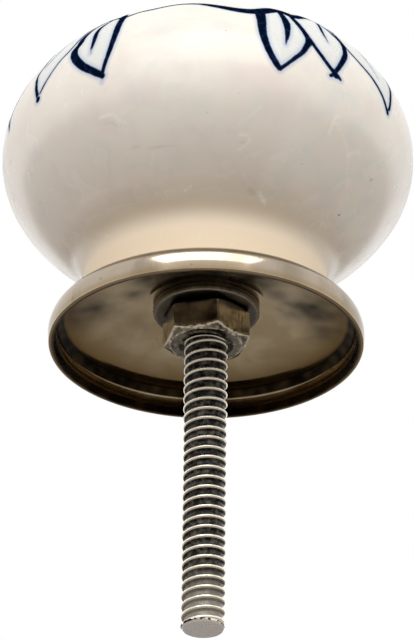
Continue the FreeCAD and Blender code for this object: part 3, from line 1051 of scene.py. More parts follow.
    def far_petals(self) -> list[Petal]:
        """Paint the far side's sprays, which repeat the near ones with a hand's small unevenness.

        Returns:
            The petals of those sprays.
        """
        draw = np.random.default_rng(11)
        petals = []
        for spray in self.far_sprays:
            for offset, wide in ((-20.0, 8.0), (0.0, 7.2), (21.0, 8.6)):
                tip = spray + offset + draw.uniform(-1.0, 1.0)
                reach = 25.7 + draw.uniform(-0.4, 0.4)
                lean = draw.uniform(-2.5, 2.5)
                foot = tip - lean
                end = (tip, reach)
                left = ((foot - wide * 0.7, 15.9), (foot - wide, 18.9), (tip - wide * 0.8, 22.3), end)
                right = ((foot + wide * 0.7, 15.9), (foot + wide, 19.1), (tip + wide * 0.7, 22.5), end)
                vein = ((foot, 16.3), (foot + lean * 0.3, 19.3), (tip - lean * 0.2, 22.6))
                petals.append(
                    Petal(
                        left=Stroke(left, (0.5, 0.6, 0.62, 0.45)),
                        right=Stroke(right, (0.45, 0.5, 0.42, 0.3)),
                        vein=Stroke(vein, (0.4, 0.42, 0.08)),
                        tip=(tip, reach + 0.1),
                        blot=0.27,
                    )
                )
        return petals


def smooth_line(knots: tuple[Point, ...], pieces: int = 8) -> np.ndarray:
    """Draw a flowing line through knots.

    Args:
        knots: The points that the line passes.
        pieces: How many short runs lie between two knots.

    Returns:
        The line's points.
    """
    points = np.array(knots, float)
    padded = np.vstack((2 * points[0] - points[1], points, 2 * points[-1] - points[-2]))
    shares = np.arange(pieces)[:, None] / pieces
    runs = []
    for a, b, c, d in zip(padded, padded[1:], padded[2:], padded[3:]):
        cubic = 3 * (b - c) + d - a
        square = 2 * a - 5 * b + 4 * c - d
        runs.append(0.5 * (2 * b + (c - a) * shares + square * shares**2 + cubic * shares**3))
    return np.vstack((*runs, points[-1:]))


@dataclass
class CeramicBall:
    """The glazed ball: elliptical crown, round underside, short neck, bare foot and bolt hole.

    It leans a little to the right and swells at one place near the top, as the real one does.
    """

    reach: Reach
    foot_inside_reach: float
    equator_height: float = 19.3
    crown_rise: float = 13.25
    side_radius: float = 8.7
    side_drop: float = 4.5
    belly_radius: float = 14.2
    neck_radius: float = 11.2
    neck_fillet: float = 3.3
    foot_width: float = 3.0
    recess_top: float = 6.15
    bore_radius: float = 2.5
    flat_radius: float = 4.7
    lean: float = 0.015
    upright_below: Point = (4.0, 9.0)
    swell: float = 0.22
    swell_place: Point = (38.0, 15.0)
    swell_spread: Point = (22.0, 4.0)
    columns: int = 600
    row_marks: tuple[tuple[float, float], ...] = ((14.6, 0.5), (27.4, 0.165), (40.0, 0.34), (99.0, 0.6))
    unevenness: float = 0.05
    brushwork: Brushwork = field(default_factory=Brushwork)

    def outline(self) -> tuple[np.ndarray, np.ndarray]:
        """The ball's section.

        Returns:
            The section's rows, and for each row its way down from the crown along the outside,
            which is negative on the faces that the cup and the bolt hide.
        """
        wide = self.reach.radius
        end = math.acos(self.flat_radius / wide)
        crown = [
            (wide * math.cos(a), self.equator_height + self.crown_rise * math.sin(a))
            for a in np.linspace(end, 0, 240)
        ]
        bend = math.asin(self.side_drop / self.side_radius)
        side_centre = (wide - self.side_radius, self.equator_height)
        offset = self.belly_radius - self.side_radius
        under_centre = (side_centre[0] - offset * math.cos(bend), side_centre[1] + offset * math.sin(bend))
        across = self.neck_radius + self.neck_fillet - under_centre[0]
        drop = math.sqrt((self.belly_radius + self.neck_fillet) ** 2 - across**2)
        turn = math.atan2(drop, across)
        throat_centre = (self.neck_radius + self.neck_fillet, under_centre[1] - drop)
        outside = crown[:-1]
        outside += arc_points(side_centre, self.side_radius, 0, -bend, 0.2)[:-1]
        outside += arc_points(under_centre, self.belly_radius, -bend, -turn, 0.2)[:-1]
        outside += arc_points(throat_centre, self.neck_fillet, math.pi - turn, math.pi, 0.2)
        outside.append((self.neck_radius, self.reach.low + 0.15))
        outside_rows = np.array(outside)
        way = np.concatenate(([0], np.cumsum(np.hypot(*np.diff(outside_rows, axis=0).T))))
        way += self.flat_radius
        marks = [self.flat_radius]
        for until, step in self.row_marks:
            while marks[-1] < min(until, way[-1] - step):
                marks.append(marks[-1] + step)
        marks = np.array([*marks, way[-1]])
        rows = np.stack([np.interp(marks, way, column) for column in outside_rows.T], 1)

        foot_inside = self.neck_radius - self.foot_width
        hidden = [
            (self.neck_radius - 0.15, self.reach.low),
            (foot_inside, self.foot_inside_reach),
            (foot_inside, self.recess_top),
            (self.bore_radius, self.recess_top),
            (self.bore_radius, self.reach.high),
        ]
        hidden_rows = even_rows(hidden, 4.0, closed=False)
        # The outside runs down, so the whole section is turned round to run anticlockwise
        section = np.vstack((rows, hidden_rows))[::-1]
        ways = np.concatenate((marks, np.full(len(hidden_rows), -1.0)))[::-1]
        return section, ways

    def shaped(
        self, azimuth: np.ndarray, radius: np.ndarray, height: np.ndarray, way: np.ndarray
    ) -> np.ndarray:
        """Place points of the section round the leaning, slightly swollen ball.

        Args:
            azimuth: Each point's angle in degrees, 0 at the near side and growing to the right.
            radius: Its radius on the true section.
            height: Its height on the true section.
            way: Its way down from the crown, negative on a hidden face.

        Returns:
            The places in millimetres.
        """
        across = (azimuth - self.swell_place[0]) / self.swell_spread[0]
        along = (way - self.swell_place[1]) / self.swell_spread[1]
        swell = np.where(way > 0, self.swell * np.exp(-(across**2) - along**2), 0)
        foot, neck = self.upright_below
        upright = np.clip((height - foot) / (neck - foot), 0, 1)
        shift = np.where(way > 0, self.lean * (height - self.equator_height) * upright, 0)
        angle = np.radians(azimuth)
        reach = radius + 0.5 * swell
        return np.stack((reach * np.sin(angle) + shift, -reach * np.cos(angle), height + 0.85 * swell), -1)

    def surface_point(self, line: np.ndarray, section: np.ndarray, ways: np.ndarray) -> np.ndarray:
        """Find places on the glaze.

        Args:
            line: The places as (azimuth, way down from the crown) pairs.
            section: The section's rows.
            ways: Each row's way down from the crown.

        Returns:
            The places in millimetres.
        """
        shown = ways > 0
        order = np.argsort(ways[shown])
        way, rows = ways[shown][order], section[shown][order]
        radius = np.interp(line[:, 1], way, rows[:, 0])
        height = np.interp(line[:, 1], way, rows[:, 1])
        azimuth = (line[:, 0] + 180) % 360 - 180
        return self.shaped(azimuth, radius, height, line[:, 1])

    def gap_to(self, places: np.ndarray, points: np.ndarray, halves: np.ndarray, near: float) -> np.ndarray:
        """Measure how far places lie outside a line of changing width.

        Args:
            places: The places to measure from.
            points: The line's points.
            halves: Half the line's width at each point.
            near: Farther away than this, the result is this.

        Returns:
            The distance for each place, negative inside the line.
        """
        gaps = np.full(places.shape[:-1], near)
        for start, end, thin, thick in zip(points, points[1:], halves, halves[1:]):
            run = end - start
            close = np.abs(places - (start + end) / 2).max(-1) < near + np.linalg.norm(run)
            if not close.any():
                continue
            offset = places[close] - start
            share = np.clip(offset @ run / max(float(run @ run), 1e-9), 0, 1)
            gap = np.linalg.norm(offset - share[:, None] * run, axis=-1) - (thin + (thick - thin) * share)
            gaps[close] = np.minimum(gaps[close], gap)
        return gaps

    def paint(self, grid: np.ndarray, section: np.ndarray, ways: np.ndarray) -> tuple[np.ndarray, np.ndarray]:
        """Measure the brushwork on the grid.

        Args:
            grid: The ball's points.
            section: The section's rows.
            ways: Each row's way down from the crown.

        Returns:
            The distance outside the nearest stroke's edge, and 1 inside a petal or else 0.
        """
        zone = (ways > self.brushwork.zone[0]) & (ways < self.brushwork.zone[1])
        ink = np.full(grid.shape[:2], 1.5)
        leaf = np.zeros(grid.shape[:2])
        places = grid[zone]
        ink_zone, leaf_zone = ink[zone], leaf[zone]
        azimuth = np.degrees(np.arctan2(places[..., 0], -places[..., 1]))
        down = np.broadcast_to(ways[zone][:, None], azimuth.shape)
        petals = [*self.brushwork.near_petals, *self.brushwork.far_petals()]
        strokes = [self.brushwork.ring] + [stroke for petal in petals for stroke in petal.strokes()]
        for stroke in strokes:
            line = smooth_line(stroke.knots)
            points = self.surface_point(line, section, ways)
            spread = np.linspace(0, len(stroke.widths) - 1, len(points))
            halves = np.interp(spread, np.arange(len(stroke.widths)), stroke.widths) / 2
            ink_zone = np.minimum(ink_zone, self.gap_to(places, points, halves, 1.2))
        for petal in petals:
            tip = self.surface_point(np.array([petal.tip]), section, ways)[0]
            ink_zone = np.minimum(ink_zone, np.linalg.norm(places - tip, axis=-1) - petal.blot)
            edge = np.vstack((smooth_line(petal.left.knots), smooth_line(petal.right.knots)[::-1]))
            middle = edge[:, 0].mean()
            turn = (azimuth - middle + 180) % 360 - 180 + middle
            close = np.abs(turn - middle) < 20
            leaf_zone[close] = np.maximum(leaf_zone[close], inside_loop(turn[close], down[close], edge))
        ink[zone], leaf[zone] = ink_zone, leaf_zone
        return ink, leaf

    def wrinkles(
        self, grid: np.ndarray, section: np.ndarray, ways: np.ndarray
    ) -> tuple[np.ndarray, np.ndarray]:
        """Measure the glaze's wrinkles and specks on the grid.

        Args:
            grid: The ball's points.
            section: The section's rows.
            ways: Each row's way down from the crown.

        Returns:
            The wrinkles' tone from -1 to 1, and the distance outside the nearest speck's edge.
        """
        tone = np.zeros(grid.shape[:2])
        for mark in self.brushwork.marks:
            points = self.surface_point(smooth_line(mark.knots), section, ways)
            gap = self.gap_to(grid, points, np.zeros(len(points)), 1.5)
            tone += mark.tone * np.exp(-((gap / mark.width * 2) ** 2)) * (gap < 1.4)
        speck = np.full(grid.shape[:2], 1.0)
        places = self.surface_point(np.array([spot[:2] for spot in self.brushwork.specks]), section, ways)
        for place, (_, _, size) in zip(places, self.brushwork.specks):
            speck = np.minimum(speck, np.linalg.norm(grid - place, axis=-1) - size)
        return np.clip(tone, -1, 1), speck

    def build(self) -> bpy.types.Object:
        """Make the ball with its paint, its wrinkles and its slightly uneven skin.

        Returns:
            The ball's object.
        """
        section, ways = self.outline()
        azimuth = np.arange(self.columns)[None, :] * 360 / self.columns - 180
        grid = self.shaped(azimuth, section[:, :1], section[:, 1:], ways[:, None])
        ink, leaf = self.paint(grid, section, ways)
        tone, speck = self.wrinkles(grid, section, ways)
        shown = np.broadcast_to((ways > 0)[:, None], speck.shape)
        uneven = 0.5 - 0.35 * waves(grid, 14.0, 8, 3) - 0.15 * waves(grid, 4.0, 10, 4)
        shrink = np.where(shown, self.unevenness * np.clip(uneven, 0, 1), 0)
        radius = np.linalg.norm(grid[..., :2], axis=-1, keepdims=True)
        grid[..., :2] *= 1 - shrink[..., None] / radius
        mesh = skin_mesh("knob_ball", grid)
        store(mesh, "ink", ink)
        store(mesh, "leaf", leaf)
        store(mesh, "mark", tone)
        store(mesh, "speck", speck)
        store(mesh, "bare", np.where(shown, 0.0, 1.0))
        mesh.set_sharp_from_angle(angle=math.radians(40))
        return place_piece(mesh, GlazeFinish().material(), "ceramic_ball")


def inside_loop(across: np.ndarray, down: np.ndarray, loop: np.ndarray) -> np.ndarray:
    """Tell which points lie inside a closed loop.

    Args:
        across: The points' first coordinate.
        down: The points' second coordinate.
        loop: The loop's corners.

    Returns:
        1 for each point inside and 0 for each outside.
    """
    inside = np.zeros(across.shape, bool)
    for (x1, y1), (x2, y2) in zip(loop, np.roll(loop, -1, axis=0)):
        if y1 == y2:
            continue
        crosses = (down < y1) != (down < y2)
        inside ^= crosses & (across < x1 + (down - y1) * (x2 - x1) / (y2 - y1))
    return inside.astype(float)


@dataclass
class BaseCup:
    """The drawn cup: one sheet with a leaning wall, a bent shoulder, a sloping floor and a seat.

    The wall opens out a hair for a short way above the rim and then bows in towards the shoulder.
    """

    reach: Reach
    sheet: float = 0.5
    wall_taper: float = 8.4
    floor_slope: float = 12.6
    seat_radius: float = 5.6
    shoulder_radius: float = 1.35
    seat_bend: float = 1.0
    hole_radius: float = 2.2
    rim_rounding: float = 0.12
    upright_to: float = 0.95
    bow_to: float = 3.0
    flare: float = 0.065
    columns: int = 320
    row: float = 0.16
    unevenness: float = 0.02
    # Painted shade and painted dark reflection, each by the way in from the rim, and painted dark reflection
    # spots as (x, y, spread, depth)
    shade_by_way: tuple[Point, ...] = (
        (0.0, 0.4),
        (0.12, 0.9),
        (0.3, 0.98),
        (1.0, 0.98),
        (1.2, 0.35),
        (1.56, 0.45),
        (1.66, 0.05),
        (1.96, 0.05),
        (2.06, 0.97),
        (2.95, 0.94),
        (3.2, 0.3),
        (3.6, 0.0),
    )
    dark_reflection_by_way: tuple[Point, ...] = (
        (1.5, 1.0),
        (1.66, 0.1),
        (1.96, 0.1),
        (2.1, 1.0),
        (3.6, 1.0),
        (4.2, 0.85),
        (5.2, 0.6),
        (7.0, 0.2),
        (8.6, 0.0),
    )
    painted_darkening: tuple[tuple[float, float, float, float], ...] = (
        (0.0, -9.5, 4.2, 1.2),
        (-4.2, -6.2, 2.6, 0.9),
        (4.2, -6.2, 2.6, 0.9),
        (-6.4, -3.0, 1.8, 0.5),
        (6.6, -3.2, 1.8, 0.6),
        (-10.8, -1.0, 3.0, 0.78),
        (-7.4, 2.6, 2.4, 0.3),
        (9.4, -1.4, 3.0, 0.82),
        (11.0, 2.0, 2.0, 0.55),
        (0.0, 4.6, 3.4, 0.3),
    )

    def corner(self, offset: float) -> Point:
        """Find where wall and floor would meet without a bend.

        Args:
            offset: How far the skin lies inside the cup's outside.

        Returns:
            The meeting point's radius and height.
        """
        lean = math.tan(math.radians(self.wall_taper))
        fall = math.tan(math.radians(self.floor_slope))
        foot = self.reach.radius - offset / math.cos(math.radians(self.wall_taper))
        seat_turn = math.tan(math.radians(self.floor_slope) / 2)
        seat = self.seat_radius - offset * seat_turn
        top = self.reach.high - offset
        rise = (top - (foot - seat) * fall) / (1 - lean * fall)
        return foot - rise * lean, rise

    def bow(self, height: np.ndarray) -> np.ndarray:
        """Bow the wall out.

        Args:
            height: Heights above the rim.

        Returns:
            How far the wall stands out from its straight lean at each height.
        """
        lean = math.tan(math.radians(self.wall_taper))
        span = self.bow_to - self.upright_to
        share = np.clip((height - self.upright_to) / span, 0, 1)
        slope = lean + self.flare
        settle = slope * self.upright_to * (2 * share**3 - 3 * share**2 + 1)
        settle += lean * span * (share**3 - 2 * share**2 + share)
        return np.where(height < self.upright_to, slope * np.maximum(height, 0), settle)

    def build(self) -> bpy.types.Object:
        """Make the cup as one closed skin, outside and inside.

        Returns:
            The cup's object.
        """
        thick = self.sheet
        outer, inner = self.corner(0), self.corner(thick)
        seat_turn = math.tan(math.radians(self.floor_slope) / 2)
        seat_inner = self.seat_radius - thick * seat_turn
        foot_inner = self.reach.radius - thick / math.cos(math.radians(self.wall_taper))
        top, under = self.reach.high, self.reach.high - thick
        corners = [
            (self.reach.radius, 0.0, self.rim_rounding),
            (*outer, self.shoulder_radius),
            (self.seat_radius, top, self.seat_bend),
            (self.hole_radius, top, 0.03),
            (self.hole_radius, under, 0.03),
            (seat_inner, under, self.seat_bend - thick),
            (*inner, self.shoulder_radius - thick),
            (foot_inner, 0.0, self.rim_rounding),
        ]
        rows = even_rows(soften(corners), self.row)
        rows[:, 0] += np.where(rows[:, 0] > inner[0] - self.shoulder_radius, self.bow(rows[:, 1]), 0)
        middle_wall = self.reach.radius - thick / 2
        inside = np.array([self.skin_side(radius, height, middle_wall).value for radius, height in rows])
        lengths = np.hypot(*np.diff(rows, axis=0, append=rows[:1]).T)
        from_rim = np.cumsum(lengths[::-1])[::-1] - lengths[-1]
        # Painted shade on the inner wall and bend, with a gap where the bend's highlight shows
        ways, painted_darkening = np.array(self.shade_by_way).T
        painted_shade = np.interp(from_rim, ways, painted_darkening) * inside
        between = (rows[:, 0] < outer[0] - 0.6) & (inside < 0.5)
        clean = np.where(between, np.clip((outer[0] - 0.6 - rows[:, 0]) / 0.5, 0, 1), 0)

        grid = turned(rows, self.columns)
        # Painted reflection: the dish floor darkens towards its wall
        dark_reflection = np.interp(from_rim, *np.array(self.dark_reflection_by_way).T) * inside
        # Painted dark reflections: soft dark spots on the dish floor
        reflection_spot = np.zeros(grid.shape[:2])
        for x, y, spread, depth in self.painted_darkening:
            gap = np.hypot(grid[..., 0] - x, grid[..., 1] - y)
            reflection_spot = np.maximum(reflection_spot, depth * np.exp(-((gap / spread) ** 2)))
        reflection_spot *= ((from_rim > 2.9) * inside)[:, None] * np.clip(1 + 0.3 * waves(grid, 2.4, 12, 25), 0.2, 1.3)
        uneven = waves(grid, 9.0, 8, 21) * self.unevenness
        on_rim = np.clip(grid[..., 2] / 0.5, 0, 1)
        grid[..., 2] += uneven * on_rim * np.clip((13.0 - np.hypot(grid[..., 0], grid[..., 1])) / 2, 0, 1)
        ragged = 0.12 * waves(grid, 1.5, 12, 23)
        mesh = skin_mesh("drawn_cup", grid)
        store(mesh, "inside", np.broadcast_to(inside[:, None], ragged.shape))
        store(mesh, "painted_shade", np.clip(np.maximum(painted_shade[:, None], reflection_spot) * (1 + ragged), 0, 1))
        store(mesh, "clean", np.broadcast_to(clean[:, None], ragged.shape))
        store(mesh, "dark_reflection", np.broadcast_to(dark_reflection[:, None], ragged.shape))
        mesh.set_sharp_from_angle(angle=math.radians(50))
        return place_piece(mesh, PlatedFinish().material(), "base_cup")

    def skin_side(self, radius: float, height: float, middle_wall: float) -> Skin:
        """Tell on which skin of the sheet a point of the section lies.

        Args:
            radius: The point's radius.
            height: The point's height.
            middle_wall: The radius of the middle of the sheet at the rim.

        Returns:
            The skin.
        """
        lean = math.tan(math.radians(self.wall_taper))
        fall = math.tan(math.radians(self.floor_slope))
        wall_at = middle_wall - height * lean
        middle_top = self.reach.high - self.sheet / 2
        floor_at = middle_top - max(0.0, radius - self.seat_radius) * fall
        return Skin.INSIDE if radius < wall_at and height < floor_at else Skin.OUTSIDE


@dataclass
class FlatWasher:
    """The plain stamped washer under the cup's seat."""

    reach: Reach
    nut_reach: float = 3.6
    hole_radius: float = 2.15
    rounding: float = 0.2
    columns: int = 192
    row: float = 0.25

    def build(self) -> bpy.types.Object:
        """Make the washer, with one edge rounded and the rim left uneven by the press.

        Returns:
            The washer's object.
        """
        corners = [
            (self.reach.radius, self.reach.low, self.rounding),
            (self.reach.radius, self.reach.high, 0.05),
            (self.hole_radius, self.reach.high, 0.05),
            (self.hole_radius, self.reach.low, 0.08),
        ]
        rows = even_rows(soften(corners), self.row)
        grid = turned(rows, self.columns)
        radius = np.hypot(grid[..., 0], grid[..., 1])
        rim = np.clip((radius - (self.reach.radius - 0.3)) / 0.3, 0, 1)
        # Painted highlight on the low side's rim, over a little scraped metal all over
        low_side = grid[..., 2] < self.reach.low + 0.3
        rubbed_and_highlit = np.where(low_side, 0.04 + 0.3 * rim, 0.04)
        # Painted shade under the nut, over the face inside the rim and along the near side
        under_nut = np.clip((self.nut_reach + 0.5 - radius) / 0.6, 0, 1)
        painted_shade = np.maximum(0.97 * under_nut, 0.6 * (1 - rim))
        painted_shade = np.maximum(painted_shade, 0.85 * np.clip((-grid[..., 1] - 1.5) / 2.5, 0, 1))
        ragged = waves(grid, 0.9, 10, 31)
        grid[..., :2] *= 1 - (0.03 * np.clip(ragged * 0.5 + 0.5, 0, 1) * rim / radius)[..., None]
        mesh = skin_mesh("stamped_washer", grid)
        store(mesh, "rubbed_and_highlit", rubbed_and_highlit)
        store(mesh, "painted_shade", painted_shade)
        mesh.set_sharp_from_angle(angle=math.radians(50))
        finish = CutSteelFinish("stamped_steel_dull_plate", Hue.STEEL_WASHER, smear=2.4, roughness=0.24)
        return place_piece(mesh, finish.material(), "flat_washer")


@dataclass
class HexNut:
    """The hexagon nut, cold-formed, with ragged bevels and a countersunk bore."""

    reach: Reach
    flats: float = 7.2
    bevel: float = 30.0
    turn: float = 14.7
    bearing: float = 0.3
    countersink: float = 0.35
    bore_radius: float = 1.75
    columns_per_face: int = 44
    burr: float = 0.07
    edge_wear: float = 0.18
    ring_wear: float = 0.09
    notch_reach: float = 0.28
    # How much painted shade darkens each flat, anticlockwise from the near corner
    shade_by_face: tuple[float, ...] = (0.0, 0.3, 0.1, 0.4, 0.0, 0.6)

    def build(self) -> bpy.types.Object:
        """Make the nut as a turned grid whose outer rows follow the hexagon.

        Returns:
            The nut's object.
        """
        columns = 6 * self.columns_per_face
        first = math.radians(-90 + self.turn)
        angles = first + np.arange(columns) * 2 * math.pi / columns
        off_middle = (angles - first) % (math.pi / 3) - math.pi / 6
        hexagon = self.flats / 2 / np.cos(off_middle)
        hexagon = np.minimum(hexagon, self.flats / math.sqrt(3) - 0.05)
        ring = self.flats / 2 - self.bearing
        slope = math.tan(math.radians(self.bevel))
        low, high = self.reach.low, self.reach.high
        mouth = self.bore_radius + self.countersink
        climb = (hexagon - ring) * slope

        def run(start: tuple, end: tuple, shares: np.ndarray) -> list[tuple]:
            """Rows between two rows, each a (radius, height) pair of arrays or numbers."""
            ends = [(np.asarray(a), np.asarray(b)) for a, b in zip(start, end)]
            return [tuple(a + (b - a) * share for a, b in ends) for share in shares]

        # The section's corners, each with the shares at which rows lie on the way to the next
        fine = np.linspace(0, 1, 12, endpoint=False)
        edge_first = np.array((0, 0.012, 0.03, 0.06, 0.1, 0.16, 0.25, 0.4, 0.55, 0.7, 0.85, 0.94, 0.98))
        bore = self.bore_radius
        section = (
            ((mouth, low), fine),
            ((ring, low), fine),
            ((hexagon, low + climb), edge_first),
            ((hexagon, high - climb), np.linspace(0, 1, 4, endpoint=False)),
            ((ring, high), np.linspace(0, 1, 3, endpoint=False)),
            ((mouth, high), np.linspace(0, 1, 2, endpoint=False)),
            ((bore, high - self.countersink), np.linspace(0, 1, 4, endpoint=False)),
            ((bore, low + self.countersink), np.linspace(0, 1, 5, endpoint=False)),
        )
        rows: list[tuple] = []
        for (corner, shares), (following, _) in zip(section, section[1:] + section[:1]):
            rows += run(corner, following, shares)

        radius = np.stack([np.broadcast_to(row[0], angles.shape) for row in rows])
        height = np.stack([np.broadcast_to(row[1], angles.shape) for row in rows])
        grid = np.stack((radius * np.cos(angles), radius * np.sin(angles), height), -1)
        edge_gap = np.hypot(radius - hexagon, height - (low + climb))
        near_edge = np.exp(-((edge_gap / self.edge_wear) ** 2))
        near_ring = np.exp(-((np.hypot(radius - ring, height - low) / self.ring_wear) ** 2))
        torn = np.clip(waves(grid, 0.45, 14, 41), -1, 1) * 0.6
        torn += np.clip(waves(grid, 0.2, 14, 42), -1, 1) * 0.4
        push = self.burr * near_edge * torn
        outward = np.stack((np.cos(angles), np.sin(angles), 0 * angles - 0.8), -1)
        grid += push[..., None] * outward
        on_bevel = np.clip(1 - np.abs(height - low - np.maximum(radius - ring, 0) * slope) / 0.05, 0, 1)
        scratched = np.clip(waves(grid, 0.5, 14, 43) * 1.6 - 0.5, 0, 1)
        # Pale edges: scraped metal and painted highlights on the lower edge and the bearing ring, with
        # scratches on the bevel
        rubbed_and_highlit = near_edge * (1.25 + 1.3 * torn) + near_ring * (0.45 + 0.9 * torn) + 0.3 * on_bevel * scratched
        rubbed_and_highlit = np.clip(rubbed_and_highlit, 0, 1)
        # Painted shade in the bore's mouth, on the top face, on the bevel and in the dents of the edge
        mouth_gap = np.hypot(radius - mouth, height - low)
        painted_shade = np.clip(1.2 - mouth_gap / 0.4, 0, 1) + np.clip((height - high + 0.5) / 0.35, 0, 1)
        notches = np.clip(-1.8 * torn - 0.55, 0, 1) * np.exp(-((edge_gap / self.notch_reach) ** 2))
        # Painted shade: the flat to the left of the near corner is painted dark, the one to its right is left
        # bright
        flank = np.clip((height - low - climb) / 0.1, 0, 1)
        shaded_faces = flank * np.array(self.shade_by_face)[np.arange(columns) // self.columns_per_face]
        painted_shade = np.clip(painted_shade + 0.7 * on_bevel * (1 - near_edge) + notches + shaded_faces, 0, 1)
        mesh = skin_mesh("hexagon_nut", grid)
        store(mesh, "rubbed_and_highlit", rubbed_and_highlit)
        store(mesh, "painted_shade", painted_shade)
        mesh.set_sharp_from_angle(angle=math.radians(24))
        finish = CutSteelFinish("cold_formed_steel_dark_plate", smear=1.3, roughness=0.13, bump=0.2)
        return place_piece(mesh, finish.material(), "hex_nut")


